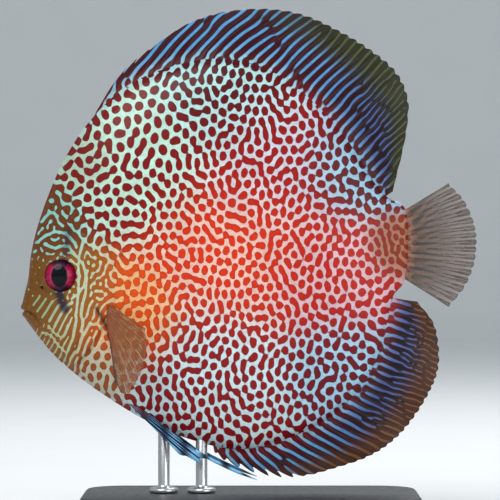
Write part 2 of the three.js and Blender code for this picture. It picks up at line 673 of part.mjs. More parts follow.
const fish = new THREE.Group();
fish.position.z = FISH_HEIGHT;
const flesh = buildFlesh();
fish.add(meshOf("head", flesh.head, FINISH.face));
fish.add(meshOf("lower_jaw", flesh.lowerJaw, FINISH.face));
fish.add(meshOf("trunk", flesh.trunk, FINISH.skin));
fish.add(meshOf("tail_stalk", flesh.tailStalk, FINISH.skin));
fish.add(meshOf("dorsal_fin", medianFin(DORSAL), FINISH.fin));
fish.add(meshOf("anal_fin", medianFin(ANAL), FINISH.fin));
fish.add(meshOf("caudal_fin", medianFin(CAUDAL), FINISH.clearFin));
const skin = body(GAP);
for (const [name, side] of [["left", -1], ["right", 1]]) {
  const { x, z, y, radius, depth } = EYE;
  fish.add(meshOf(`eye_${name}`, ellipsoid(x, side * y, z, radius, depth, 20, 10), FINISH.eye));
  fish.add(meshOf(`gill_cover_${name}`, gillCover(side), FINISH.face));
  const pectoral = pairedFin(side, pectoralRay(side), PECTORAL.rays, PECTORAL.rows, skin);
  fish.add(meshOf(`pectoral_fin_${name}`, pectoral, FINISH.clearFin));
  fish.add(meshOf(`pelvic_fin_${name}`, pelvicFin(side, skin), FINISH.fin));
}

const model = new THREE.Group();
model.add(fish);
model.add(meshOf("stand_base", standBase(), FINISH.base));
for (const [name, x] of Object.entries(ROD_X)) model.add(meshOf(`stand_rod_${name}`, rod(x), FINISH.rod));

export default model;
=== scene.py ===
"""A discus fish in its natural colours, held still on a plain display stand.

Lengths in this script are millimetres, and go to Blender in metres. The fish's own frame has its origin in
the middle of its length at the tail's height: x runs from head to tail, y to the fish's right and z up.
"""

import math
from functools import cache
from types import SimpleNamespace

import bmesh
import bpy
import numpy as np
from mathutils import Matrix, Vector


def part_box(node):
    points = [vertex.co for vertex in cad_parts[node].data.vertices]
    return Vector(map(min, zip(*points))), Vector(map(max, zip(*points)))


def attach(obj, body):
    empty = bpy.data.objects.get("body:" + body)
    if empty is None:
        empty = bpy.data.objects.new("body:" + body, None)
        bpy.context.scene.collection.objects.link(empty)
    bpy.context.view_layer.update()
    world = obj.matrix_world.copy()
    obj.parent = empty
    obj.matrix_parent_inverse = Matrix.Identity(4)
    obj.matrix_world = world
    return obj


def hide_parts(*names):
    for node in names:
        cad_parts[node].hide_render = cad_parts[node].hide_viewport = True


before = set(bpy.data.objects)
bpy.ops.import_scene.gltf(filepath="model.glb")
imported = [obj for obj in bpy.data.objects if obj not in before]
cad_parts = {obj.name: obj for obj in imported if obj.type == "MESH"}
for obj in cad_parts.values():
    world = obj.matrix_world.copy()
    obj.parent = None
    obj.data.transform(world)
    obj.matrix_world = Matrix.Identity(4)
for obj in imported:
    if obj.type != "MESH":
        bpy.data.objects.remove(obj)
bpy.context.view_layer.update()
MM = 0.001


def node_box(name):
    """A node's lowest and highest corners, in millimetres."""
    return [np.array(corner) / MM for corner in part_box(name)]


# The tail fin is as far above the tail's height as below it.
FISH_HEIGHT = sum(corner[2] for corner in node_box("caudal_fin")) / 2

# Body, as in the part's source
RIM = 1.6
CENTRE = np.array([-12.0, -3.0])
SECTION_POWER = 2
SECTION_ROUND = 0.6
SWING_FROM = 26
SWING = 0.0028
OUTLINE = [
    (-78.5, -21.5), (-78, -18), (-76.5, -12), (-75.5, -3.5), (-73.5, 5), (-69.5, 16), (-63, 30), (-55, 42),
    (-42.5, 54), (-28, 60.5), (-12.5, 63.5), (1.5, 61.5), (13.5, 55), (25.5, 44.5), (35, 32.5), (42, 21),
    (47, 15.5), (52, 13), (53.5, 0), (52, -12.5), (48.5, -17), (46, -27.5), (41, -42.5), (29, -57),
    (13.5, -65.5), (-4, -69.5), (-21, -66), (-35, -60), (-48.5, -52), (-61.5, -42.5), (-70.5, -34),
    (-75, -28.5), (-77.5, -25),
]
HALF_WIDTH = [
    (-78.5, RIM), (-77.5, 3.4), (-75.5, 4.8), (-72, 6.2), (-65, 8.5), (-57, 10.8), (-47, 12.6), (-34, 13.4),
    (-18, 12.9), (0, 11), (18, 8.4), (34, 5.6), (44, 3.6), (53.5, 1.8),
]

# Skin
SKIN_CELLS = 188  # across the body each way, on each side
RIM_CROWDING = 0.15
HEAD_END = -57  # the cells are half as large in front of this
GILL_COVER_END = -49  # and of this on the gill cover
GILL_COVER_HEIGHT = (-44, 2)
EDGE_LOOPS = 5  # round the back's and the belly's edge
EDGE_CROWN = 0.9
SNOUT_CROWN = 0.315
SNOUT_REACH = (-77, -66)
SCALE_PITCH = (2.3, 1.9)
SCALE_REACH = (0.92, 1.02)  # of one scale, in pitches
SCALE_LIFT = 0.11
CHEEK_SCALES = 0.35
RELIEF = {
    "gill step": 0.6, "gill groove": 0.5, "plate ridge": 0.22, "plate groove": 0.3, "lips": 0.5, "mouth": 0.7,
    "jaw": 0.25, "nostril rim": 0.3, "nostril": 1.1,
}
MAP_MARGIN = 0.01

# Head
EYE = {"x": -65, "z": -10.5, "y": 6.2, "radius": 5.9, "depth": 4.3, "wrap": 118}
EYE_RINGS = 60
EYE_PARTS = 96
ORBIT = {"radius": 7.6, "depth": 3.4, "y": 5.9, "lid": 0.35, "lid radius": 6, "cup": 0.7}
PUPIL = (2.75, 3.6)
GILL_REAR = [(-54, 6), (-50.5, 0), (-47.6, -10), (-48.4, -19), (-51.4, -29), (-58.2, -38.8), (-63, -42.5)]
GILL_FRONT = [(-57.5, 3), (-58.2, -6), (-58.6, -15), (-58.8, -25), (-60.4, -33), (-64, -39)]
# The gill slit: the skin along it is darkened with painted shadow from the gill cover's rear edge.
GILL_SLIT = [(-52.6, -21.5), (-50.2, -26), (-48, -31), (-46, -36.5), (-44.6, -42)]
FACE_EDGE = [
    (-70, 40), (-66.5, 26), (-65.5, 14), (-62.5, 6), (-57, 0.5), (-50.5, -3.5), (-47.4, -10), (-48, -20),
    (-50.6, -30), (-55, -37), (-60, -46),
]
EYE_BAR = [(-65.4, -16.4), (-64.9, -18.6), (-63.6, -21.8)]
BROW_BAR = [(-63.6, -4.2), (-62.8, 0.6), (-62.4, 4.6)]
MOUTH = [(-81, -22.0), (-78.4, -22.6), (-76.2, -23.3), (-74.2, -24.8), (-73.2, -26.6)]
JAW_EDGE = [(-73.2, -26.6), (-71.2, -29.6), (-71.2, -33)]
NOSTRIL = (-71.6, -14.6)

# Fins, as in the part's source. Each key ray says where it leaves the body and where its tip is.
LONG_FIN = {
    "columns": 9, "sink": 1.1, "wave": 0.5, "notch": 0.025, "spine notch": 0.26, "membrane": 0.2, "ray": 0.44,
    "taper": 0.6, "flesh": 1.3, "ray flesh": 1.1, "flesh reach": 0.32, "flesh power": 1.5,
}
DORSAL = {**LONG_FIN, "node": "dorsal_fin", "rays": 40, "spines": 9, "rows": 44, "bend": 0.34, "keys": [
    (-60.5, 34, -59.5, 36.5), (-55.5, 40.5, -51.5, 48), (-50.5, 46.5, -44.5, 59.5), (-45, 51.5, -37, 66),
    (-40, 55, -29.5, 71.5), (-33, 58.5, -20.5, 77), (-24.5, 61.5, -9, 80.5), (-15, 63, 5, 81.5),
    (-3, 63, 18, 79.5), (9.5, 57.5, 30.5, 74), (21, 49.5, 42, 67), (29, 40, 50.5, 59.5), (36, 32, 54.5, 50),
    (39, 27, 54, 40.5), (41.5, 23, 52.5, 32.5), (43.5, 19.5, 50.5, 24.5), (46, 16, 49, 18.5),
]}
ANAL = {**LONG_FIN, "node": "anal_fin", "rays": 36, "spines": 8, "rows": 40, "bend": 0.3, "keys": [
    (-13.5, -69.5, -12.5, -71.5), (-10.5, -69.5, -8, -75), (-7, -69.5, -0.5, -78), (-1.5, -69.5, 9.5, -80),
    (4.5, -68.5, 19, -79.5), (11.5, -66, 29, -77), (19.5, -63, 39.5, -73.5), (27, -58.5, 48, -68.5),
    (34, -52.5, 55, -61.5), (40.5, -44, 61.5, -51.5), (44.5, -35.5, 65, -42.5), (46.5, -29.5, 65, -34),
    (47.5, -23, 63, -26.5), (48.5, -18, 57.5, -19.5),
]}
CAUDAL = {
    "rays": 17, "columns": 12, "rows": 46, "bend": 0, "sink": 1.0, "wave": 0.35, "notch": 0.03,
    "membrane": 0.17, "ray": 0.4, "taper": 0.6, "flesh": 1.1, "ray flesh": 1.1, "flesh reach": 0.16,
    "flesh power": 1.5,
    "keys": [
        (52, 11.6, 68.5, 21.5), (53, 8, 74, 15.5), (53.3, 4, 77.5, 8), (53.5, 0, 78.5, 0.5),
        (53.3, -4, 77.5, -7), (53, -8, 74, -15), (52.3, -11.2, 68.5, -21.5),
    ],
}
PECTORAL = {
    "rays": 11, "columns": 10, "rows": 40, "flare": 38, "sink": 1.6, "wave": 0.35, "notch": 0.03,
    "membrane": 0.14, "ray": 0.34, "taper": 0.6, "flesh": 0.6, "ray flesh": 0.75, "flesh reach": 0.3,
    "flesh power": 1.4, "root": [(-49.2, -19.8), (-48.4, -28.8)],
    "tips": [(-35.5, -28), (-35.2, -36), (-37.2, -43.5), (-41.5, -50), (-45.6, -47)],
}
PELVIC = {
    "rays": 6, "columns": 9, "rows": 56, "sink": 0.7, "notch": 0.06, "membrane": 0.17, "ray": 0.4,
    "taper": 0.5, "flesh": 0.7, "ray flesh": 0.7, "flesh reach": 0.25, "flesh power": 1.4,
    "root": [(-43, -54.4), (-36.8, -57.4)], "y": (2.6, 7.4), "spread over": 30,
    # Each ray's tip, and the angle in degrees at which it leaves the body.
    "tips": [
        (-24.5, -71.8, 43), (-17.5, -74.8, 41), (-15.5, -73, 39), (-18.5, -70.8, 37), (-22, -68.2, 35),
        (-26.5, -65.4, 33),
    ],
    "thread from": 0.55, "thread tip": (2, -80.3), "thread width": 1.1,
}

# Stand
BASE_CORNER = 14
BASE_CORNER_STEPS = 16
BASE_BEVEL = 1.2
ROD_RADIUS = 2
ROD_SIDES = 48

# The pattern of spots, worms and stripes
FIELD_STEP = 0.3
FIELD_CELLS = 576
FIELD_CORNER = -FIELD_STEP * FIELD_CELLS / 2
FIELD_SEEDS = (11, 29)  # left and right
GROW_ROUNDS = 7
EVEN_OVER = 2.2  # how far the pattern's strength is evened out
SPOT_LENGTHS = [1.8, 2.4, 3.1, 4.1]
STRIPE_LENGTHS = [1.8, 2.9]
STRIPE_ANGLES = np.arange(8) * math.pi / 8

# Pale lines that the face always has: behind the eye, round it, below it and round the cheek plate.
FACE_LINES = [
    [(-57.2, 1), (-58.6, -5), (-58.8, -14), (-59.4, -22), (-60.5, -30), (-62.5, -36)],
    [(-55.8, -9), (-56.4, -16), (-58, -22), (-57.4, -28), (-58.8, -35), (-62, -39)],
    [(-57.6, -31), (-55, -27.5), (-52, -27), (-50.8, -31), (-53.5, -36.5), (-58, -40)],
    [(-73.4, 1), (-69.5, 3.6), (-65.9, 4.5), (-62.4, 3.1), (-59.5, -0.5)],
    [(-70.7, 0.3), (-67.2, -1), (-63.1, -0.3), (-60, -3)],
    [(-72, 8), (-68.5, 11), (-66, 10)],
    [(-74.6, -20.5), (-72.4, -17.5)],
    [(-73.2, -22.6), (-70.2, -18.4)],
    [(-71.4, -24.6), (-68, -19.4)],
    [(-69.2, -26.2), (-65.6, -20.4)],
    [(-67.4, -28), (-63.4, -21.4), (-61, -19.6)],
    [(-71.6, -30.2), (-68.6, -31), (-66.4, -34), (-63.6, -36.6)],
    [(-69.6, -27.6), (-66.8, -30.6), (-64.2, -31.4), (-62.6, -27.4)],
]

# Regions of the body: middle, reach, ground, spot, and how much of the field stays ground.
REGIONS = {
    "nape": (-56, 28, 8, "A0B49E", "6A1008", -0.4),
    "shoulder": (-36, 30, 20, "B4D4C2", "700406", -0.26),
    "back": (-8, 52, 20, "A4CECC", "480008", -0.4),
    "high side": (6, 28, 20, "C6C0CC", "920606", -0.4),
    "rear back": (33, 28, 14, "86B4CA", "460210", -0.4),
    "centre": (-5, -2, 22, "E2B2A0", "CA2C06", -0.32),
    "glow": (-40, -24, 13, "E8A868", "D04604", -0.36),
    "flank": (22, -10, 18, "CEA8AE", "A81204", -0.36),
    "stalk": (49, 0, 7, "98603E", "781E08", -0.3),
    "belly": (-12, -46, 22, "C4DADE", "800810", -0.32),
    "rear belly": (28, -42, 14, "98C2D8", "600416", -0.4),
    "throat": (-52, -43, 8, "B6B49C", "8C441A", -0.1),
    "cheek": (-58, -18, 11, "B2C2A4", "865416", -0.6),
    # The snout's own colours, darkened with painted shade.
    "snout": (-73, -16, 9, "84986C", "643E10", -1.75),
    "chin": (-66, -36, 7, "A4AC82", "7E4814", -0.7),
    "forehead": (-70, 8, 9, "80BAB0", "603212", -0.75),
}
REGION_SPREAD = 0.62 * math.sqrt(2)

# Ground and spot of the long fins and their rear ends, the dorsal fin's and the anal fin's margin and the bar
# through the eye.
FIN_COLOURS = (
    ("4E92C2", "42528A", "484C22", "6C4216", "1C2440"),
    ("32010C", "14030C", "202008", "3A1C06", "101428"),
)
# Ground and spot of the tail fin at its root, in its middle and at its tip.
TAIL_COLOURS = (("98603E", "64442A", "624228"), ("781E08", "2C160C", "3A2010"))
# Ground and spot of the breast fins at their root, at their tip and along their upper edge, a dark ray with
# painted shadow.
PECTORAL_COLOURS = (("985230", "966038", "4A2C24"), ("8A4626", "824C2A", "351C1A"))
PELVIC_COLOURS = {"ground": "7EBFEA", "root ground": "C8D8D8", "spot": "141C3A", "root spot": "7A2A30"}
EYE_COLOURS = {
    "iris": "7E0632", "streak": "B41648", "dark": "140824", "glint": "C84A74", "pupil": "05060E",
    "rim": "3A0E22",
}

# Studio
PHOTO_WIDTH = 500
PHOTO_SCALE = 2.9  # pixels to the millimetre, at the fish
PHOTO_CENTRE = (-0.3, -1.7)  # of the fish's frame
CAMERA_DISTANCE = 1000
SENSOR = 36
FLOOR_RADIUS = 1900
COVE_RADIUS = 700
WALL_HEIGHT = 1500
STAGE_SIDES = 96
LIGHTS = {
    "key light": ((-450, -850, 1150), 1000, 14),
    "fill light": ((850, -900, 200), 900, 6),
    "back light": ((300, 500, 900), 500, 6),
}
SKY_COLOUR = (0.8, 0.86, 0.9, 1)
SKY_STRENGTH = 0.62


# Shapes shared by the pieces

def curve_through(points):
    """A smooth curve y(x) through points, as a cubic between each two."""
    xs, ys = np.array(points, float).T
    last = len(xs) - 1
    after = np.minimum(np.arange(len(xs)) + 1, last)
    before = np.maximum(np.arange(len(xs)) - 1, 0)
    slope = (ys[after] - ys[before]) / (xs[after] - xs[before])

    def at(x):
        x = np.clip(x, xs[0], xs[-1])
        i = np.clip(np.searchsorted(xs, x, side="right") - 1, 0, last - 1)
        w = xs[i + 1] - xs[i]
        t = (x - xs[i]) / w
        s = 1 - t
        ends = s * s * (1 + 2 * t) * ys[i] + t * t * (3 - 2 * t) * ys[i + 1]
        return ends + t * s * w * (s * slope[i] - t * slope[i + 1])

    return at


def closed_curve(points, per_span=20):
    """A centripetal Catmull-Rom curve through points and back to the first."""
    p = np.array(points, float)
    t = np.linspace(0, 1, per_span, endpoint=False)[:, None]
    spans = []
    for i in range(len(p)):
        a, b, c, d = (p[(i + k) % len(p)] for k in (-1, 0, 1, 2))
        before, here, after = (math.sqrt(np.linalg.norm(v)) for v in (b - a, c - b, d - c))
        leave = ((b - a) / before - (c - a) / (before + here) + (c - b) / here) * here
        arrive = ((c - b) / here - (d - b) / (here + after) + (d - c) / after) * here
        ends = (1 - t) ** 2 * (1 + 2 * t) * b + t ** 2 * (3 - 2 * t) * c
        spans.append(ends + t * (1 - t) * ((1 - t) * leave - t * arrive))
    return np.vstack(spans)


def length_along(points):
    """How far along a line of points each of them is."""
    return np.concatenate([[0], np.cumsum(np.linalg.norm(np.diff(points, axis=0), axis=1))])


def smooth_line(points, step=0.4):
    """A dense line through points, rounded at each."""
    p = np.array(points, float)
    length = length_along(p)
    at = np.linspace(0, length[-1], max(2, int(length[-1] / step)))
    return np.column_stack([curve_through(np.column_stack([length, p[:, k]]))(at) for k in (0, 1)])


def smoothstep(low, high, value):
    t = np.clip((value - low) / (high - low), 0, 1)
    return t * t * (3 - 2 * t)


def between(a, b, share):
    return a * (1 - share) + b * share


def hump(value, width, power=2):
    """One where the value is nothing, and fading over the width to both sides."""
    return np.exp(-np.abs(value / width) ** power)


def blob(x, z, at_x, at_z, reach):
    """A soft round patch of the side view."""
    return np.exp(-((x - at_x) ** 2 + (z - at_z) ** 2) / reach ** 2)


def signed_distance(line, x, z, at_once=20000):
    """The distance from places to a line, less than nothing on the right of its direction."""
    flat_x, flat_z = np.ravel(x), np.ravel(z)
    signed = np.empty(flat_x.shape)
    along = np.gradient(line, axis=0)
    for start in range(0, len(flat_x), at_once):
        part = slice(start, start + at_once)
        dx = flat_x[part, None] - line[:, 0]
        dz = flat_z[part, None] - line[:, 1]
        square = dx * dx + dz * dz
        best = np.argmin(square, axis=1)
        rows = np.arange(len(best))
        cross = along[best, 0] * dz[rows, best] - along[best, 1] * dx[rows, best]
        signed[part] = np.copysign(np.sqrt(square[rows, best]), cross)
    return signed.reshape(np.shape(x))


def distance_to(points, x, z, step=0.4):
    """The distance from places to a smooth line through points."""
    return np.abs(signed_distance(smooth_line(points, step), x, z))


DENSE = closed_curve(OUTLINE)
SNOUT_AT = int(np.argmin(DENSE[:, 0]))
ROLLED = np.roll(DENSE, -SNOUT_AT, axis=0)
TAIL_AT = int(np.argmax(ROLLED[:, 0]))
BACK = ROLLED[: TAIL_AT + 1]
BELLY = np.vstack([ROLLED[:1], ROLLED[:TAIL_AT - 1:-1]])
width_at = curve_through(HALF_WIDTH)


def swing(x):
    """How far the tail is swung to the fish's right."""
    return SWING * np.maximum(0, x - SWING_FROM) ** 2


def flesh_at(x, z):
    """Half the thickness of the flesh at a place in the side view."""
    top = np.interp(x, BACK[:, 0], BACK[:, 1])
    bottom = np.interp(x, BELLY[:, 0], BELLY[:, 1])
    level = np.minimum(1, np.abs((2 * z - top - bottom) / np.maximum(1e-6, top - bottom)))
    return RIM + (width_at(x) - RIM) * np.maximum(0, 1 - level ** SECTION_POWER) ** SECTION_ROUND


def outside(x, z):
    """How far a place in the side view is outside the body's outline, less than nothing inside it."""
    return signed_distance(np.vstack([DENSE, DENSE[:1]]), x, z)


def seat_near(x, z):
    """The place on the outline nearest to a point, and the outward normal there."""
    i = int(np.argmin(np.hypot(DENSE[:, 0] - x, DENSE[:, 1] - z)))
    along = DENSE[(i + 1) % len(DENSE)] - DENSE[i - 1]
    along /= np.linalg.norm(along)
    return DENSE[i], np.array([-along[1], along[0]])


# Markings. The pattern grows from noise: each round keeps the waves of the wanted length and lie, and pushes
# the rest to one side or the other.

def lie_of_rays(around):
    """The angle at which the long fins' rays run, by the direction from the body's middle."""
    angles = [-180, -100, -88, -70, -50, -30, -12, 0, 12, 30, 55, 80, 105, 130, 180]
    lies = [-65, -60, -45, -34, -26, -19, -14, 0, 42, 44, 40, 40, 50, 62, 65]
    return np.radians(np.interp(around, angles, lies))


def face_mask(x, z):
    """One on the face and the gill cover, nothing on the body behind them."""
    return smoothstep(0.8, -0.8, signed_distance(smooth_line(FACE_EDGE), x, z))


def band_shares(lengths, wanted):
    """How much each wave length adds to the wanted one at every place."""
    return [np.interp(np.log(wanted), np.log(lengths), only) for only in np.eye(len(lengths))]


class Markings:
    """The pattern's fields over the side view, the left side's and the right side's."""

    def __init__(self):
        at = FIELD_CORNER + FIELD_STEP * np.arange(FIELD_CELLS)
        x, z = np.meshgrid(at, at, indexing="ij")
        away = outside(x, z)
        around = np.degrees(np.arctan2(z - CENTRE[1], x - CENTRE[0]))
        face = face_mask(x, z)
        in_fin = smoothstep(1, 6, away)
        rear = smoothstep(75, 30, np.abs(around))

        length = 3.05 + 0.6 * blob(x, z, -38, 34, 24) - 0.25 * blob(x, z, -8, 2, 26)
        length = length - 0.8 * blob(x, z, 49, 0, 9)
        length = length + 0.3 * in_fin - 1.7 * smoothstep(2, 12, away) * rear
        length = between(length, 2.05 + 0.6 * smoothstep(4, 14, z), face)
        striped = 0.95 * in_fin + 0.45 * face * smoothstep(-17, -22, z)
        striped = np.clip(striped * (1 - 0.75 * smoothstep(4, 14, away) * rear), 0, 1)
        lie = np.where(in_fin > 0.02, lie_of_rays(around), np.radians(90))
        lie = np.where(face > 0.5, np.radians(62), lie)

        self.bias = -0.95 + (0.35 + 0.25 * smoothstep(-5, 25, x)) * in_fin + 1.25 * face
        self.lines = hump(np.min([distance_to(line, x, z) for line in FACE_LINES], axis=0), 0.36)
        ring = hump(np.hypot(x - EYE["x"], z - EYE["z"]) - 8.6, 0.34) * smoothstep(-64, -59, x)
        self.lines = np.maximum(self.lines, ring)
        self.wave_x = np.fft.fftfreq(FIELD_CELLS, FIELD_STEP)[:, None]
        self.wave_z = np.fft.rfftfreq(FIELD_CELLS, FIELD_STEP)[None, :]
        self.bands = list(self.find_bands(length, striped, lie))
        self.fields = [self.grow(seed) for seed in FIELD_SEEDS]

    def find_bands(self, length, striped, lie):
        """The waves that are let through, each with its share at every place."""
        upright = np.hypot(self.wave_x * 0.93, self.wave_z * 1.2)
        for size, part in zip(SPOT_LENGTHS, band_shares(SPOT_LENGTHS, length)):
            yield hump(upright * size - 1, 0.36), part * (1 - striped)
        wave = np.hypot(self.wave_x, self.wave_z)
        turn = np.arctan2(self.wave_z, self.wave_x)
        for size, part in zip(STRIPE_LENGTHS, band_shares(STRIPE_LENGTHS, length)):
            ring = hump(wave * size - 1, 0.26)
            for angle in STRIPE_ANGLES:
                across = np.cos(2 * (turn - angle - math.pi / 2))
                along = np.maximum(0, np.cos(2 * (lie - angle))) ** 6
                yield 1.6 * ring * np.exp((across - 1) * 3.5), part * striped * along

    def grow(self, seed):
        field = np.random.default_rng(seed).standard_normal((FIELD_CELLS, FIELD_CELLS))
        blur = np.exp(-2 * (math.pi * EVEN_OVER) ** 2 * (self.wave_x ** 2 + self.wave_z ** 2))
        for _ in range(GROW_ROUNDS):
            spectrum = np.fft.rfft2(field)
            mixed = sum(weight * np.fft.irfft2(spectrum * band, s=field.shape) for band, weight in self.bands)
            power = np.fft.irfft2(np.fft.rfft2(mixed * mixed) * blur, s=field.shape)
            mixed = mixed / np.sqrt(np.maximum(power, 0.05 * power.mean())) - 2.4 * self.lines
            field = np.tanh(1.7 * mixed + self.bias)
        return mixed

    def at(self, x, z, side):
        """The field at places of the side view: side is -1 on the fish's left and 1 on its right."""
        i, j = (np.clip((value - FIELD_CORNER) / FIELD_STEP, 0, FIELD_CELLS - 1.001) for value in (x, z))
        a, b = i.astype(int), j.astype(int)
        sides = []
        for field in self.fields:
            lower = between(field[a, b], field[a + 1, b], i - a)
            upper = between(field[a, b + 1], field[a + 1, b + 1], i - a)
            sides.append(between(lower, upper, j - b))
        return between(*sides, np.clip((side + 1) / 2, 0, 1))


def linear(code):
    """A colour code such as "C8E0D0" as linear red, green and blue."""
    srgb = np.array([int(code[k : k + 2], 16) for k in (0, 2, 4)]) / 255
    return np.where(srgb <= 0.04045, srgb / 12.92, ((srgb + 0.055) / 1.055) ** 2.4)


def fin_zone(x, z):
    """One at the dorsal and anal fins' side of the edge, nothing at the head and the tail stalk."""
    over = smoothstep(8, 14, z) * smoothstep(-66, -52, x)
    under = smoothstep(-10, -18, z) * smoothstep(-20, -8, x)
    return np.maximum(over, under)


def paint(x, z, reach, side, markings):
    """Ground and spot colours and the pattern's level at places of the side view.

    reach is how far out along its ray a place on a fin is, from nothing at the root to one at the tip.
    """
    regions = list(REGIONS.values())
    shares = np.array([blob(x, z, cx, cz, REGION_SPREAD * size) + 1e-9 for cx, cz, size, *_ in regions])
    shares = (shares / shares.sum(axis=0)).T
    ground, spot = (shares @ np.array([linear(region[k]) for region in regions]) for k in (3, 4))
    away = outside(x, z)
    zone = fin_zone(x, z)
    fin = smoothstep(-3, 7, away) * zone
    far = smoothstep(18, 46, x) * smoothstep(-2, 4, away)
    edge = smoothstep(0.5, 0.85, reach) * smoothstep(-5, 30, x) * zone
    level = between(shares @ [region[5] for region in regions], 0.1 * far - 0.75, fin) - 0.1 * edge
    # Painted shadow: the skin is darkened along the gill slit, under the gill cover's rear edge.
    shade = 1 - 0.85 * hump(distance_to(GILL_SLIT, x, z), 0.75)
    bar = 0.9 * hump(distance_to(EYE_BAR, x, z), 1.7, 4) + 0.6 * hump(distance_to(BROW_BAR, x, z), 1.5)
    over, fin, far, edge, shade, bar = (share[:, None] for share in (z > 0, fin, far, edge, shade, bar))
    colours = []
    for colour, codes in zip((ground, spot), FIN_COLOURS):
        on_fin, on_rear, dorsal_margin, anal_margin, on_bar = (linear(code) for code in codes)
        colour = between(colour, between(on_fin, on_rear, far), fin)
        colour = between(colour, np.where(over, dorsal_margin, anal_margin), edge)
        colours.append(between(colour * shade, on_bar, bar))
    return *colours, markings.at(x, z, side) - level


# Meshes

def mesh_object(name, vertices, faces, triangles=False):
    """A smooth mesh from millimetre vertices in the fish's frame, with its faces turned outwards."""
    mesh = bpy.data.meshes.new(name)
    placed = (np.asarray(vertices) + [0, 0, FISH_HEIGHT]) * MM
    mesh.from_pydata(placed.tolist(), [], [list(map(int, face)) for face in faces])
    shape = bmesh.new()
    shape.from_mesh(mesh)
    bmesh.ops.recalc_face_normals(shape, faces=shape.faces)
    if triangles:
        bmesh.ops.triangulate(shape, faces=shape.faces, quad_method="SHORT_EDGE")
    shape.to_mesh(mesh)
    shape.free()
    mesh.shade_smooth()
    piece = bpy.data.objects.new(name, mesh)
    bpy.context.scene.collection.objects.link(piece)
    return piece


def ring_faces(rings, sides, first=0):
    """Quads between rings of vertices that follow one another from the first vertex on."""
    faces = []
    for i in range(rings - 1):
        for k in range(sides):
            a = first + i * sides + k
            b = first + i * sides + (k + 1) % sides
            faces.append((a, b, b + sides, a + sides))
    return faces


def turned(name, profile, sides, x=0):
    """A mesh turned round an upright axis from pairs of radius and height, the first of them on the axis."""
    vertices = [(x, 0, profile[0][1])]
    rings = [pair for pair in profile if pair[0] > 0]
    for radius, height in rings:
        for k in range(sides):
            turn = 2 * math.pi * k / sides
            vertices.append((x + radius * math.cos(turn), radius * math.sin(turn), height))
    faces = [(0, 1 + (k + 1) % sides, 1 + k) for k in range(sides)] + ring_faces(len(rings), sides, 1)
    if profile[-1][0] == 0:
        last = len(vertices) - sides
        faces += [(last + k, last + (k + 1) % sides, len(vertices)) for k in range(sides)]
        vertices.append((x, 0, profile[-1][1]))
    return mesh_object(name, vertices, faces)


def paint_on(piece, **colours):
    """Gives a mesh a colour at each vertex under each name."""
    for name, values in colours.items():
        layer = piece.data.attributes.new(name, "FLOAT_COLOR", "POINT")
        rgba = np.column_stack([values, np.ones(len(values))]).astype(np.float32)
        layer.data.foreach_set("color", rgba.ravel())


def number_on(piece, **numbers):
    """Gives a mesh a number at each vertex under each name."""
    for name, values in numbers.items():
        layer = piece.data.attributes.new(name, "FLOAT", "POINT")
        layer.data.foreach_set("value", np.asarray(values, np.float32))


def side_map(piece, x, z, side):
    """The map named OFBake: the left side's view below the right side's."""
    mesh = piece.data
    corners = np.empty(len(mesh.loops), np.int32)
    mesh.loops.foreach_get("vertex_index", corners)
    starts = np.empty(len(mesh.polygons), np.int32)
    totals = np.empty(len(mesh.polygons), np.int32)
    mesh.polygons.foreach_get("loop_start", starts)
    mesh.polygons.foreach_get("loop_total", totals)
    facing = np.add.reduceat(side[corners], starts) / totals > 0
    upper = np.repeat(facing, totals)
    u = MAP_MARGIN + (1 - 2 * MAP_MARGIN) * (x - x.min()) / (x.max() - x.min())
    v = MAP_MARGIN + (0.5 - 3 * MAP_MARGIN) * (z - z.min()) / (z.max() - z.min())
    flat = np.column_stack([u[corners], v[corners] + 0.5 * upper])
    uv = mesh.uv_layers.new(name="OFBake")
    uv.data.foreach_set("uv", flat.astype(np.float32).ravel())


def put_in_place(piece, material, slot, *nodes):
    """Gives a piece its material, says what it rides on and hides the nodes that it stands for. The slot is
    not used.
    """
    piece.data.materials.append(material)
    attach(piece, "root")
    if nodes:
        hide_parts(*nodes)


# Skin

def round_grid():
    """The body's side view as a square grid of quads, pressed into the outline."""
    at = np.linspace(-1, 1, SKIN_CELLS + 1)
    u, v = (g.ravel() for g in np.meshgrid(at, at, indexing="ij"))
    wide = np.abs(u) > np.abs(v)
    with np.errstate(divide="ignore", invalid="ignore"):
        turn = np.where(wide, (math.pi / 4) * (v / u), math.pi / 2 - (math.pi / 4) * (u / v))
    radius = np.where(wide, u, v)
    turn = np.where((u == 0) & (v == 0), 0, turn)
    disc_x, disc_z = radius * np.cos(turn), radius * np.sin(turn)
    share = np.hypot(disc_x, disc_z)
    share = between(share, np.sin(share * math.pi / 2), RIM_CROWDING)
    theta = np.arctan2(disc_z, disc_x)
    around = np.arctan2(DENSE[:, 1] - CENTRE[1], DENSE[:, 0] - CENTRE[0])
    order = np.argsort(around)
    limit = np.hypot(*(DENSE - CENTRE).T)[order]
    reach = np.interp(theta, around[order], limit, period=2 * math.pi)
    x = CENTRE[0] + share * reach * np.cos(theta)
    z = CENTRE[1] + share * reach * np.sin(theta)
    row = SKIN_CELLS + 1
    faces = []
    for i in range(SKIN_CELLS):
        for j in range(SKIN_CELLS):
            corner = i * row + j
            faces.append((corner, corner + 1, corner + row + 1, corner + row))
    return x, z, faces


def on_head(at):
    """Whether a place in the side view is on the head or the gill cover."""
    low, high = GILL_COVER_HEIGHT
    return at.x < HEAD_END or (at.x < GILL_COVER_END and low < at.z < high)


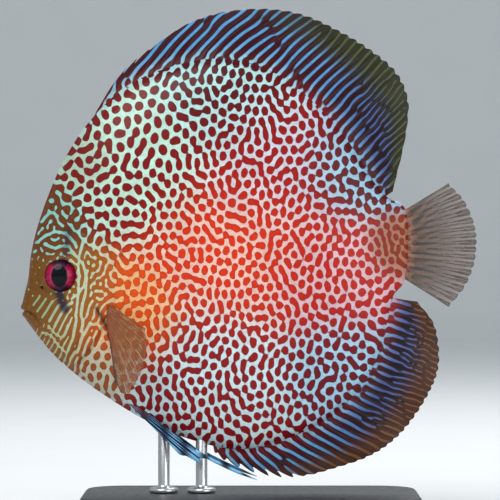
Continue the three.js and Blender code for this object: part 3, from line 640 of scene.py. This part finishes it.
def flat_grid():
    """The side view's vertices and quads, finer over the head, and the vertices along its rim in order."""
    x, z, quads = round_grid()
    flat = bmesh.new()
    made = [flat.verts.new((px, 0, pz)) for px, pz in zip(x, z)]
    for quad in quads:
        flat.faces.new([made[corner] for corner in quad])
    head = [face for face in flat.faces if on_head(face.calc_center_median())]
    edges = list({edge for face in head for edge in face.edges})
    bmesh.ops.subdivide_edges(flat, edges=edges, cuts=1, use_grid_fill=True)
    flat.verts.index_update()
    places = np.array([vertex.co for vertex in flat.verts])[:, [0, 2]]
    faces = [[vertex.index for vertex in face.verts] for face in flat.faces]
    following = {}
    for edge in flat.edges:
        if len(edge.link_faces) == 1:
            loop = edge.link_loops[0]
            following[loop.vert.index] = loop.link_loop_next.vert.index
    flat.free()
    rim = [next(iter(following))]
    while following[rim[-1]] != rim[0]:
        rim.append(following[rim[-1]])
    return places, faces, rim


def scale_relief(x, z):
    """Scales like roof tiles, free edges to the tail, from nothing to one."""
    a = x / SCALE_PITCH[0]
    b = z / SCALE_PITCH[1]
    best = np.full(x.shape, -1.0)
    for dj in (-1, 0, 1):
        row = np.round(b) + dj
        shift = 0.5 * (row % 2)
        for di in (-1, 0, 1):
            column = np.round(a - shift) + di
            dx = (a - shift - column) / SCALE_REACH[0]
            dz = (b - row) / SCALE_REACH[1]
            inside = dx * dx + dz * dz < 1
            best = np.where(inside, np.maximum(best, dx), best)
    return (best + 1) / 2


def relief(x, z):
    """How far the skin stands out of the smooth body, along its normal."""
    face = face_mask(x, z)
    cheek = smoothstep(-64, -58, x) * smoothstep(6, -4, z)
    scaled = 1 - face + CHEEK_SCALES * face * cheek
    high = SCALE_LIFT * scaled * (scale_relief(x, z) - 0.5)

    # The gill cover's rear edge stands over a groove.
    inner = -signed_distance(smooth_line(GILL_REAR), x, z)
    shown = smoothstep(7, 0, z) * smoothstep(0.3, 3, -outside(x, z))
    step = smoothstep(-0.35, 0.35, inner) * np.exp(-np.maximum(0, inner) / 6)
    high = high + shown * (RELIEF["gill step"] * step - RELIEF["gill groove"] * hump(inner + 0.8, 0.55))

    # Its front plate has a low ridge with a groove behind it.
    plate = signed_distance(smooth_line(GILL_FRONT), x, z)
    high = high + RELIEF["plate ridge"] * hump(plate, 1.1) - RELIEF["plate groove"] * hump(plate - 1.3, 0.6)

    mouth = distance_to(MOUTH, x, z, 0.2)
    lips = RELIEF["lips"] * hump(mouth - 1.15, 0.8) - RELIEF["mouth"] * hump(mouth, 0.34)
    high = high + lips * smoothstep(-72.4, -74.2, x)
    high = high - RELIEF["jaw"] * hump(distance_to(JAW_EDGE, x, z, 0.2), 0.5)

    near = np.hypot(x - NOSTRIL[0], z - NOSTRIL[1])
    return high + RELIEF["nostril rim"] * hump(near - 0.95, 0.35) - RELIEF["nostril"] * hump(near, 0.55, 4)


def eye_room(x, z, y):
    """Sets the skin round the eye: a raised rim, and a cup that the eyeball fills."""
    near = np.hypot(x - EYE["x"], z - EYE["z"])
    ball = EYE["y"] + EYE["depth"] * np.sqrt(np.maximum(0, 1 - (near / EYE["radius"]) ** 2))
    orbit = ORBIT["y"] + ORBIT["depth"] * np.sqrt(np.maximum(0, 1 - (near / ORBIT["radius"]) ** 2))
    raised = np.where(near < ORBIT["radius"], np.maximum(y, orbit), y)
    rim = raised + ORBIT["lid"] * hump(near - ORBIT["lid radius"], 0.7)
    cup = np.minimum(rim, ball - ORBIT["cup"])
    return between(rim, cup, smoothstep(5.75, 5.15, near))


def outward_from(edge):
    """The direction out of the body at each place along its rim."""
    along = np.roll(edge, -1, axis=0) - np.roll(edge, 1, axis=0)
    along /= np.linalg.norm(along, axis=1)[:, None]
    outward = np.column_stack([along[:, 1], -along[:, 0]])
    return outward if np.sum(outward * (edge - CENTRE)) > 0 else -outward


def skin_shape():
    """The skin's vertices and faces, with each vertex's place in the side view and its side."""
    places, faces, rim = flat_grid()
    x, z = places.T
    count = len(x)
    y = flesh_at(x, z)
    y[rim] = RIM
    y = eye_room(x, z, y)
    vertices = [np.column_stack([x, side * y + swing(x), z]) for side in (-1, 1)]
    sides = [-np.ones(count), np.ones(count)]
    flat = [places, places]

    edge = places[rim]
    outward = outward_from(edge)
    crown = between(SNOUT_CROWN, EDGE_CROWN, smoothstep(*SNOUT_REACH, edge[:, :1]))
    loops = [np.array(rim)]
    for k in range(1, EDGE_LOOPS + 1):
        angle = math.pi * (k / (EDGE_LOOPS + 1) - 0.5)
        out = edge + outward * crown * math.cos(angle)
        vertices.append(np.column_stack([out[:, 0], RIM * math.sin(angle) + swing(out[:, 0]), out[:, 1]]))
        sides.append(np.full(len(rim), math.sin(angle)))
        flat.append(edge)
        loops.append(2 * count + (k - 1) * len(rim) + np.arange(len(rim)))
    loops.append(np.array(rim) + count)
    faces = faces + [[corner + count for corner in reversed(face)] for face in faces]
    for low, high in zip(loops, loops[1:]):
        for i in range(len(rim)):
            j = (i + 1) % len(rim)
            faces.append([low[i], high[i], high[j], low[j]])
    return np.vstack(vertices), faces, np.vstack(flat), np.concatenate(sides)


def build_skin(markings):
    """One skin over the whole body, both sides joined round the edge of the back and the belly."""
    vertices, faces, flat, side = skin_shape()
    x, z = flat.T
    skin = mesh_object("skin", vertices, faces, triangles=True)
    normals = np.array([normal.vector for normal in skin.data.vertex_normals])
    where = vertices + normals * relief(x, z)[:, None]
    placed = (where + [0, 0, FISH_HEIGHT]) * MM
    skin.data.vertices.foreach_set("co", placed.astype(np.float32).ravel())
    skin.data.update()
    ground, spot, level = paint(x, z, np.zeros(len(x)), side, markings)
    paint_on(skin, ground=ground, spot=spot)
    number_on(skin, level=level)
    side_map(skin, where[:, 0], where[:, 2], side)
    flesh = ("head", "lower_jaw", "gill_cover_left", "gill_cover_right", "trunk", "tail_stalk")
    put_in_place(skin, skin_material(), "skin", *flesh)


# Fins

def fin_half(fin, v):
    """Half a fin's thickness between its rays and on them, by the place along the rays."""
    swell = np.maximum(0, 1 - v / fin["flesh reach"]) ** fin["flesh power"]
    on_ray = fin["ray"] * (1 - fin["taper"] * v) + fin["ray flesh"] * swell
    return fin["membrane"] + fin["flesh"] * swell, on_ray


def ray_ridges(across, far):
    """How high a place stands on its ray, which parts in two and then in four on its way out."""
    first = smoothstep(0.38, 0.62, far)
    second = smoothstep(0.66, 0.92, far)
    width = 0.13 - 0.03 * first - 0.02 * second
    ridge = np.zeros(len(across))
    for sign in (-1, 1):
        for twig in (-1, 1):
            ridge = np.maximum(ridge, hump(across - sign * 0.2 * first - twig * 0.1 * second, width))
    return ridge


def sheet_faces(columns, rows):
    """Quads of both faces of a sheet of columns by rows of vertices, and of the edge all round."""
    total = columns * rows
    faces = []
    for i in range(columns - 1):
        for j in range(rows - 1):
            a = i * rows + j
            b = a + rows
            faces.append((a, b, b + 1, a + 1))
            faces.append((total + a, total + a + 1, total + b + 1, total + b))
    ends = [(i * rows + j, (i + 1) * rows + j) for j in (0, rows - 1) for i in range(columns - 1)]
    ends += [(i * rows + j, i * rows + j + 1) for i in (0, columns - 1) for j in range(rows - 1)]
    return faces + [(a, total + a, total + b, b) for a, b in ends]


def ray_sheet(name, fin, point_at):
    """A thin closed sheet with raised, branching rays, and what is known of each of its vertices.

    point_at(s, v) gives the sheet's middle and its normal by the place along the fin and out along its rays.
    The membrane falls short of the ray tips, and more so between the spines.
    """
    columns = (fin["rays"] - 1) * fin["columns"] + 1
    rows = fin["rows"] + 1
    along = np.linspace(0, 1, columns)
    place = along * (fin["rays"] - 1)
    s = np.repeat(along, rows)
    across = np.repeat(place - np.round(place), rows)
    v = np.tile(np.linspace(0, 1, rows), columns)
    notch = fin["notch"]
    if "spines" in fin:
        spiny = fin["spines"] / fin["rays"]
        notch = notch + fin["spine notch"] * smoothstep(spiny, 0.6 * spiny, s)
    far = v * (1 - notch * (2 * np.abs(across)) ** 1.6)
    middle, normal = point_at(s, far)
    membrane, on_ray = fin_half(fin, far)
    ridge = ray_ridges(across, far)
    half = between(membrane, on_ray, ridge)[:, None]
    vertices = np.vstack([middle - normal * half, middle + normal * half])
    return SimpleNamespace(
        piece=mesh_object(name, vertices, sheet_faces(columns, rows)), x=vertices[:, 0], z=vertices[:, 2],
        side=np.repeat([-1.0, 1.0], len(s)), s=np.tile(s, 2), far=np.tile(far, 2), ridge=np.tile(ridge, 2))


def dress_sheet(sheet, ground, spot, level, ray, material, slot, node):
    paint_on(sheet.piece, ground=ground, spot=spot)
    number_on(sheet.piece, level=level, ray=ray, out=sheet.far)
    side_map(sheet.piece, sheet.x, sheet.z, sheet.side)
    put_in_place(sheet.piece, material, slot, node)


def median_surface(fin):
    """The surface of a fin of the middle line as a function of place along it and out along its rays."""
    keys = np.array(fin["keys"], float)
    at = np.array([seat_near(x, z)[0] for x, z in keys[:, :2]])
    share = length_along(at) / length_along(at)[-1]
    root_x, root_z, tip_x, tip_z = (
        curve_through(np.column_stack([share, values])) for values in (*at.T, keys[:, 2], keys[:, 3]))
    steps = np.linspace(0, 1, 400)
    seats = [seat_near(root_x(s), root_z(s)) for s in steps]
    seat = np.array([place for place, _ in seats])
    normal = np.array([out for _, out in seats])
    kernel = np.ones(9) / 9

    def smooth(values, s):
        return np.interp(s, steps, np.convolve(np.pad(values, 4, mode="edge"), kernel, mode="valid"))

    def at_place(s, v):
        root = np.column_stack([smooth(seat[:, 0], s), smooth(seat[:, 1], s)])
        out = np.column_stack([smooth(normal[:, 0], s), smooth(normal[:, 1], s)])
        tip = np.column_stack([tip_x(s), tip_z(s)])
        reach = np.linalg.norm(tip - root, axis=1)[:, None]
        knee = root + (tip - root) * (0.5 - fin["bend"] / 4)
        knee = knee + fin["bend"] * reach * 0.5 * (out - (tip - root) / reach)
        root = root - fin["sink"] * out
        t = v[:, None]
        p = (1 - t) ** 2 * root + 2 * t * (1 - t) * knee + t ** 2 * tip
        wave = fin["wave"] * v ** 2 * np.sin(s * 23 + 0.7) * np.minimum(1, reach[:, 0] / 12)
        middle = np.column_stack([p[:, 0], swing(p[:, 0]) + wave, p[:, 1]])
        return middle, np.tile([0.0, 1.0, 0.0], (len(s), 1))

    return at_place


def build_median_fin(name, fin, markings):
    """The dorsal or the anal fin: soft rays behind a row of spines with deep notches between them."""
    sheet = ray_sheet(name, fin, median_surface(fin))
    ground, spot, level = paint(sheet.x, sheet.z, sheet.far, sheet.side, markings)
    dress_sheet(sheet, ground, spot, level, sheet.ridge, fin_material(), "long_fin", fin["node"])


def build_caudal(markings):
    """The tail fin, spotted at its root and part clear towards its edge."""
    sheet = ray_sheet("tail_vane", CAUDAL, median_surface(CAUDAL))
    a = smoothstep(0.04, 0.2, sheet.far)[:, None]
    b = smoothstep(0.25, 0.7, sheet.far)[:, None]
    ground, spot = (
        between(between(linear(root), linear(middle), a), linear(tip), b)
        for root, middle, tip in TAIL_COLOURS)
    level = markings.at(sheet.x, sheet.z, sheet.side) - 0.05
    level = level + 1.2 * smoothstep(0.3, 0.6, sheet.far) * (sheet.ridge - 0.4)
    material = clear_fin_material("tail fin", 0.8, 0.24)
    dress_sheet(sheet, ground, spot, level, sheet.ridge, material, "clear_fin", "caudal_fin")


def pectoral_surface(side):
    """The surface of a breast fin, which stands off the body towards its tips."""
    (ux, uz), (lx, lz) = PECTORAL["root"]
    tips = np.array(PECTORAL["tips"], float)
    share = np.linspace(0, 1, len(tips))
    tip_x, tip_z = (curve_through(np.column_stack([share, tips[:, k]])) for k in (0, 1))
    flare = math.tan(math.radians(PECTORAL["flare"]))
    sink = PECTORAL["sink"]

    def point(s, v):
        x, z = ux + (lx - ux) * s, uz + (lz - uz) * s
        end_x, end_z = tip_x(s), tip_z(s)
        out = flesh_at(x, z) - sink + (np.hypot(end_x - x, end_z - z) * flare + sink) * v ** 0.9
        out = out + PECTORAL["wave"] * v ** 2 * np.sin(9 * s + 1)
        return np.column_stack([x + (end_x - x) * v, side * out, z + (end_z - z) * v])

    def surface(s, v):
        step = 0.004
        along = point(s + step, v) - point(s - step, v)
        outward = point(s, v + step) - point(s, np.maximum(v - step, 1e-4))
        across = np.cross(along, outward)
        return point(s, v), across / np.linalg.norm(across, axis=1)[:, None]

    return surface


def build_pectoral(name, side):
    sheet = ray_sheet(name, PECTORAL, pectoral_surface(side))
    # The dark edge: the fin's own dark first ray, with painted shadow.
    lead_ray_and_shadow = smoothstep(0.86, 1.0, sheet.s)
    near = smoothstep(0.5, 0.02, sheet.far)
    ground, spot = (
        between(between(linear(tip), linear(root), near[:, None]), linear(edge), lead_ray_and_shadow[:, None])
        for root, tip, edge in PECTORAL_COLOURS)
    ray = np.maximum(sheet.ridge, np.maximum(lead_ray_and_shadow, near ** 0.6))
    material = clear_fin_material("breast fin", 0.66, 0.34)
    node = "pectoral_fin_left" if side < 0 else "pectoral_fin_right"
    dress_sheet(sheet, ground, spot, 0.8 * sheet.ridge - 0.4, ray, material, "clear_fin", node)


def pelvic_curve(root, tip, steep, side):
    """A pelvic ray from its root, which leaves the body at an angle in degrees."""
    reach = math.hypot(tip[0] - root[0], tip[1] - root[1])
    down = math.radians(steep)
    knee = (root[0] + 0.5 * reach * math.cos(down), root[1] - 0.5 * reach * math.sin(down))
    front = PELVIC["root"][0][0]
    low, high = PELVIC["y"]

    def at(v):
        x, z = ((1 - v) ** 2 * root[k] + 2 * v * (1 - v) * knee[k] + v ** 2 * tip[k] for k in (0, 1))
        away = np.clip((x - front) / PELVIC["spread over"], 0, 1) ** 0.8
        return np.column_stack([x, side * (low + (high - low) * away), z])

    return at


def dress_pelvic(piece, far, rib, *nodes):
    """Streaks a pelvic fin or its thread in pale blue and navy along its rays."""
    points = np.array([vertex.co for vertex in piece.data.vertices]) / MM
    x, y, z = points.T
    rib = np.broadcast_to(rib, x.shape)
    far = np.broadcast_to(far, x.shape)
    base = smoothstep(0.3, 0.0, far)[:, None]
    ground = between(linear(PELVIC_COLOURS["ground"]), linear(PELVIC_COLOURS["root ground"]), 0.35 * base)
    spot = between(linear(PELVIC_COLOURS["spot"]), linear(PELVIC_COLOURS["root spot"]), base)
    paint_on(piece, ground=ground, spot=spot)
    number_on(piece, level=0.55 - rib * (0.9 + 0.4 * np.sin(x * 0.9)), ray=rib, out=far)
    side_map(piece, x, z, np.sign(y - y.mean()))
    put_in_place(piece, fin_material(), "long_fin", *nodes)


def build_pelvic(name, side):
    """A pelvic fin of a few rays, the second drawn out into a thread."""
    start, end = np.array(PELVIC["root"], float)
    count = len(PELVIC["tips"])
    roots = [start + (end - start) * i / (count - 1) + [0, PELVIC["sink"]] for i in range(count)]
    rays = [pelvic_curve(root, ray[:2], ray[2], side) for root, ray in zip(roots, PELVIC["tips"])]

    def surface(s, v):
        place = s * (count - 1)
        low = np.clip(place.astype(int), 0, count - 2)
        every = np.stack([ray(v) for ray in rays])
        rows = np.arange(len(s))
        middle = between(every[low, rows], every[low + 1, rows], (place - low)[:, None])
        return middle, np.tile([0.0, float(side), 0.0], (len(s), 1))

    sheet = ray_sheet(name, PELVIC, surface)
    thread = pelvic_curve(roots[1], PELVIC["thread tip"], PELVIC["tips"][1][2], side)
    strip = thread_mesh(f"{name}_thread", thread, PELVIC["thread from"], PELVIC["thread width"] / 2)
    dress_pelvic(sheet.piece, sheet.far, sheet.ridge, "pelvic_fin_left" if side < 0 else "pelvic_fin_right")
    dress_pelvic(strip, 0.8, 0.7)


def thread_mesh(name, curve, start, radius, sides=8, steps=40):
    """A thin tapering thread along a curve, half as deep as it is wide."""
    centre = curve(np.linspace(start, 1, steps))
    along = np.gradient(centre, axis=0)
    along /= np.linalg.norm(along, axis=1)[:, None]
    across = np.cross(along, [0, 1, 0])
    across /= np.linalg.norm(across, axis=1)[:, None]
    other = np.cross(along, across)
    taper = radius * np.minimum(1, 0.2 + 3 * (1 - np.linspace(0, 1, steps)))[:, None]
    turns = np.arange(sides) * 2 * math.pi / sides
    rings = [centre + taper * (math.cos(turn) * across + 0.5 * math.sin(turn) * other) for turn in turns]
    ends = [tuple(range(sides)), tuple(range((steps - 1) * sides, steps * sides))]
    return mesh_object(name, np.stack(rings, axis=1).reshape(-1, 3), ring_faces(steps, sides) + ends)


# Eyes

def eye_colours(dx, dz, radius):
    """A streaked crimson iris, dark above and below, round a tall black pupil."""
    turn = np.arctan2(dz, dx)
    pupil = np.hypot((dx + 0.4) / PUPIL[0], (dz + 0.1) / PUPIL[1])
    streak = 0.5 + 0.5 * np.sin(turn * 17 + 5 * radius) * np.sin(turn * 31 + 2)
    upright = np.abs(np.sin(turn)) ** 3
    layers = (
        ("streak", 0.7 * streak),
        ("dark", 0.95 * smoothstep(0.25, 0.75, upright) * smoothstep(0.35, 0.6, radius)),
        ("glint", 0.4 * hump(pupil - 1.12, 0.1) * (1 - 0.9 * upright)),
        ("pupil", smoothstep(1.06, 0.98, pupil)),
        ("rim", smoothstep(0.86, 0.97, radius)),
    )
    colour = linear(EYE_COLOURS["iris"])
    for name, share in layers:
        colour = between(colour, linear(EYE_COLOURS[name]), share[:, None])
    return colour


def build_eye(name, side):
    """An eyeball with a ringed iris and a tall pupil, domed like the clear cornea over it."""
    rings, parts = EYE_RINGS, EYE_PARTS
    vertices = [(EYE["x"], side * (EYE["y"] + EYE["depth"]), EYE["z"])]
    for i in range(1, rings + 1):
        lean = math.radians(EYE["wrap"]) * i / rings
        across = EYE["radius"] * math.sin(lean)
        y = side * (EYE["y"] + EYE["depth"] * math.cos(lean))
        for j in range(parts):
            turn = 2 * math.pi * j / parts
            vertices.append((EYE["x"] + across * math.cos(turn), y, EYE["z"] + across * math.sin(turn)))
    faces = [(0, 1 + j, 1 + (j + 1) % parts) for j in range(parts)] + ring_faces(rings, parts, 1)
    faces.append(tuple(range(1 + (rings - 1) * parts, 1 + rings * parts)))
    eye = mesh_object(name, vertices, faces)

    x, y, z = np.array(vertices).T
    dx, dz = x - EYE["x"], z - EYE["z"]
    radius = np.where((y - side * EYE["y"]) * side < 0, 1.1, np.hypot(dx, dz) / EYE["radius"])
    paint_on(eye, paint=eye_colours(dx, dz, radius))
    put_in_place(eye, eye_material(), "eye", "eye_left" if side < 0 else "eye_right")


# Stand

def build_stand_base():
    """A rounded plate the size of the stand's base."""
    low, high = node_box("stand_base")
    half_x, half_y = (high[0] - low[0]) / 2, (high[1] - low[1]) / 2
    thick = high[2] - low[2]
    bevel = BASE_BEVEL
    loops = []
    for inset, height in (
        (bevel, 0), (0.35 * bevel, 0.35 * bevel), (0, bevel), (0, thick - bevel),
        (0.08 * bevel, thick - 0.6 * bevel), (0.35 * bevel, thick - 0.35 * bevel),
        (0.65 * bevel, thick - 0.1 * bevel), (bevel, thick),
    ):
        radius = BASE_CORNER - inset
        ring = []
        for quarter, (sx, sy) in enumerate(((1, 1), (-1, 1), (-1, -1), (1, -1))):
            for k in range(BASE_CORNER_STEPS + 1):
                turn = (quarter + k / BASE_CORNER_STEPS) * math.pi / 2
                x = sx * (half_x - BASE_CORNER) + radius * math.cos(turn)
                y = sy * (half_y - BASE_CORNER) + radius * math.sin(turn)
                ring.append((x, y, height - FISH_HEIGHT))
        loops.append(ring)
    count = len(loops[0])
    vertices = [point for ring in loops for point in ring]
    ends = [tuple(range(count)), tuple(range(len(vertices) - count, len(vertices)))]
    plate = mesh_object("base_plate", vertices, ends + ring_faces(len(loops), count))
    plate.data.set_sharp_from_angle(angle=math.radians(40))
    put_in_place(plate, base_material(), "stand_base", "stand_base")


def build_rod(node):
    """A round rod with a flat foot, turned from the node's size."""
    low, high = node_box(node)
    foot = (high[0] - low[0]) / 2
    bottom, top = low[2] - FISH_HEIGHT, high[2] - FISH_HEIGHT
    profile = [
        (0, bottom), (foot - 0.15, bottom), (foot, bottom + 0.15), (foot, bottom + 0.9),
        (foot - 0.25, bottom + 1.35), (foot - 0.7, bottom + 1.6), (ROD_RADIUS + 0.75, bottom + 1.65),
        (ROD_RADIUS + 0.2, bottom + 1.95), (ROD_RADIUS, bottom + 2.5), (ROD_RADIUS, top - 0.4),
        (ROD_RADIUS - 0.4, top), (0, top),
    ]
    rod = turned(node.replace("stand_", "steel_"), profile, ROD_SIDES, (low[0] + high[0]) / 2)
    rod.data.set_sharp_from_angle(angle=math.radians(50))
    put_in_place(rod, rod_material(), "stand_rod", node)


# Materials

class Nodes:
    """A material's node tree, with short ways to add and join nodes."""

    def __init__(self, name):
        self.material = bpy.data.materials.new(name)
        self.material.use_nodes = True
        self.tree = self.material.node_tree
        self.shader = self.tree.nodes["Principled BSDF"]

    def add(self, kind, **settings):
        node = self.tree.nodes.new(kind)
        for key, value in settings.items():
            setattr(node, key, value)
        return node

    def feed(self, value, target):
        """Joins an output to an input, or sets the input to a number or a colour."""
        if hasattr(value, "is_output"):
            self.tree.links.new(value, target)
        elif isinstance(value, tuple) and len(value) == 3 and len(target.default_value) == 4:
            target.default_value = (*value, 1)
        else:
            target.default_value = value

    def attribute(self, name, output="Fac"):
        return self.add("ShaderNodeAttribute", attribute_name=name).outputs[output]

    def noise(self, size, detail=3, stretch=(1, 1, 1)):
        """Noise with waves of a size in millimetres, more closely set along an axis that is stretched."""
        mapping = self.add("ShaderNodeMapping")
        mapping.inputs["Scale"].default_value = [times / MM for times in stretch]
        self.feed(self.add("ShaderNodeTexCoord").outputs["Object"], mapping.inputs["Vector"])
        noise = self.add("ShaderNodeTexNoise")
        noise.inputs["Scale"].default_value = 1 / size
        noise.inputs["Detail"].default_value = detail
        self.feed(mapping.outputs["Vector"], noise.inputs["Vector"])
        return noise.outputs["Fac"]

    def span(self, value, low, high, to_low=0.0, to_high=1.0, smooth=False):
        ranged = self.add("ShaderNodeMapRange", interpolation_type="SMOOTHSTEP" if smooth else "LINEAR")
        for key, number in (("From Min", low), ("From Max", high), ("To Min", to_low), ("To Max", to_high)):
            ranged.inputs[key].default_value = number
        self.feed(value, ranged.inputs["Value"])
        return ranged.outputs["Result"]

    def grain(self, size, detail, low, high):
        """Noise brought from its usual range into another."""
        return self.span(self.noise(size, detail), 0.3, 0.7, low, high)

    def mix(self, factor, a, b):
        mixed = self.add("ShaderNodeMix", data_type="RGBA")
        for value, socket in ((factor, 0), (a, 6), (b, 7)):
            self.feed(value, mixed.inputs[socket])
        return mixed.outputs[2]

    def maths(self, operation, a, b):
        node = self.add("ShaderNodeMath", operation=operation)
        self.feed(a, node.inputs[0])
        self.feed(b, node.inputs[1])
        return node.outputs[0]

    def scaled(self, colour, times):
        node = self.add("ShaderNodeVectorMath", operation="SCALE")
        self.feed(colour, node.inputs[0])
        self.feed(times, node.inputs["Scale"])
        return node.outputs[0]

    def bump(self, size, distance):
        """Fine grain in the surface, of a size and a depth in millimetres."""
        bump = self.add("ShaderNodeBump")
        bump.inputs["Distance"].default_value = distance * MM
        bump.inputs["Strength"].default_value = 0.5
        self.feed(self.noise(size), bump.inputs["Height"])
        self.feed(bump.outputs["Normal"], self.shader.inputs["Normal"])

    def set(self, **values):
        """Sets or joins the shader's inputs, named with _ for each space."""
        for key, value in values.items():
            self.feed(value, self.shader.inputs[key.replace("_", " ")])


def marked_colour(nodes, softness):
    """Ground and spot from the mesh's own attributes, with grain, and the share of spot."""
    level = nodes.attribute("level")
    shimmer = nodes.grain(1.1, 4, 0.86, 1.1)
    cloud = nodes.grain(9, 2, 0.93, 1.06)
    ground = nodes.scaled(nodes.attribute("ground", "Color"), nodes.maths("MULTIPLY", shimmer, cloud))
    depth = nodes.span(level, 0.0, 1.1, 0.8, 1.08)
    grain = nodes.grain(0.7, 3, 0.9, 1.1)
    spot = nodes.scaled(nodes.attribute("spot", "Color"), nodes.maths("MULTIPLY", depth, grain))
    share = nodes.span(level, -softness, softness, smooth=True)
    return nodes.mix(share, ground, spot), share


def skin_material():
    nodes = Nodes("fish skin")
    colour, share = marked_colour(nodes, 0.16)
    nodes.set(Base_Color=colour, Roughness=nodes.span(share, 0, 1, 0.34, 0.44))
    nodes.set(Coat_Weight=0.1, Coat_Roughness=0.16, Specular_IOR_Level=0.16)
    nodes.bump(0.5, 0.05)
    return nodes.material


@cache
def fin_material():
    nodes = Nodes("fin membrane")
    colour, _ = marked_colour(nodes, 0.25)
    ray = nodes.span(nodes.attribute("ray"), 0.2, 1.0, 0.0, 0.06)
    nodes.set(Base_Color=nodes.mix(ray, colour, (0.22, 0.24, 0.34)))
    nodes.set(Roughness=0.45, Coat_Weight=0.07, Coat_Roughness=0.2, Specular_IOR_Level=0.16)
    nodes.bump(0.45, 0.04)
    return nodes.material


@cache
def clear_fin_material(name, alpha_base, alpha_tip):
    """A fin that is part clear between its rays, more so towards its tip."""
    nodes = Nodes(name)
    colour, _ = marked_colour(nodes, 0.3)
    out = nodes.attribute("out")
    between_rays = nodes.span(out, 0.15, 0.95, alpha_base, alpha_tip)
    ray = nodes.span(nodes.attribute("ray"), 0.1, 0.9, smooth=True)
    whole = nodes.maths("MAXIMUM", between_rays, nodes.maths("MULTIPLY", ray, 0.8))
    root = nodes.span(out, 0.0, 0.2, 1.0, 0.0)
    nodes.set(Base_Color=colour, Alpha=nodes.maths("MAXIMUM", whole, root))
    nodes.set(Roughness=0.4, Coat_Weight=0.15, Coat_Roughness=0.2)
    nodes.bump(0.45, 0.04)
    return nodes.material


@cache
def eye_material():
    nodes = Nodes("wet eye")
    nodes.set(Base_Color=nodes.scaled(nodes.attribute("paint", "Color"), nodes.grain(0.5, 4, 0.75, 1.2)))
    nodes.set(Roughness=0.55, Specular_IOR_Level=0.05, Coat_Weight=0.5, Coat_Roughness=0.04, Coat_IOR=1.34)
    return nodes.material


def base_material():
    nodes = Nodes("satin base")
    tone = nodes.grain(6, 4, 0, 1)
    nodes.set(Base_Color=nodes.mix(tone, (0.022, 0.023, 0.025), (0.03, 0.031, 0.034)))
    nodes.set(Roughness=nodes.grain(2.5, 5, 0.34, 0.46))
    nodes.bump(0.35, 0.02)
    return nodes.material


@cache
def rod_material():
    nodes = Nodes("brushed steel")
    rings = nodes.noise(0.6, 4, (1, 1, 12))
    nodes.set(Base_Color=nodes.mix(rings, (0.5, 0.51, 0.53), (0.68, 0.69, 0.7)))
    nodes.set(Roughness=nodes.span(rings, 0.3, 0.7, 0.22, 0.38), Metallic=1.0)
    return nodes.material


# Studio

def build_stage():
    """A pale round floor that sweeps up into a low wall all round."""
    steps = 16
    profile = [(0, 0), (FLOOR_RADIUS, 0)]
    for k in range(1, steps + 1):
        turn = k / steps * math.pi / 2
        profile.append((FLOOR_RADIUS + COVE_RADIUS * math.sin(turn), COVE_RADIUS * (1 - math.cos(turn))))
    profile.append((FLOOR_RADIUS + COVE_RADIUS, WALL_HEIGHT))
    floor = turned("floor", [(radius, height - FISH_HEIGHT) for radius, height in profile], STAGE_SIDES)
    nodes = Nodes("floor paper")
    tone = nodes.mix(nodes.noise(60, 2), (0.68, 0.7, 0.71), (0.72, 0.735, 0.745))
    nodes.set(Base_Color=tone, Roughness=0.85)
    floor.data.materials.append(nodes.material)


def add_light(name, where, size, power):
    """A soft round lamp aimed at the fish, of a size in millimetres and a power in watts."""
    lamp = bpy.data.lights.new(name, "AREA")
    lamp.shape = "DISK"
    lamp.size = size * MM
    lamp.energy = power
    light = bpy.data.objects.new(name, lamp)
    light.location = [c * MM for c in where]
    aim = Vector((0, 0, FISH_HEIGHT * MM)) - light.location
    light.rotation_euler = aim.to_track_quat("-Z", "Y").to_euler()
    bpy.context.scene.collection.objects.link(light)


def build_studio():
    for name, (where, size, power) in LIGHTS.items():
        add_light(name, where, size, power)
    scene = bpy.context.scene
    world = bpy.data.worlds.new("studio")
    world.use_nodes = True
    sky = world.node_tree.nodes["Background"]
    sky.inputs["Color"].default_value = SKY_COLOUR
    sky.inputs["Strength"].default_value = SKY_STRENGTH
    scene.world = world
    scene.view_settings.view_transform = "Standard"

    camera = bpy.data.cameras.new("camera")
    camera.sensor_width = SENSOR
    camera.lens = SENSOR * CAMERA_DISTANCE * PHOTO_SCALE / PHOTO_WIDTH
    camera.clip_end = 20
    seen = bpy.data.objects.new("camera", camera)
    seen.location = (PHOTO_CENTRE[0] * MM, -CAMERA_DISTANCE * MM, (FISH_HEIGHT + PHOTO_CENTRE[1]) * MM)
    seen.rotation_euler = (math.pi / 2, 0, 0)
    scene.collection.objects.link(seen)
    scene.camera = seen


def main():
    build_stage()
    build_studio()
    markings = Markings()
    build_skin(markings)
    build_median_fin("back_vane", DORSAL, markings)
    build_median_fin("belly_vane", ANAL, markings)
    build_caudal(markings)
    for name, side in (("left", -1), ("right", 1)):
        build_eye(f"eyeball_{name}", side)
        build_pectoral(f"breast_vane_{name}", side)
        build_pelvic(f"pelvic_vane_{name}", side)
    build_stand_base()
    for node in ("stand_rod_front", "stand_rod_rear"):
        build_rod(node)


main()
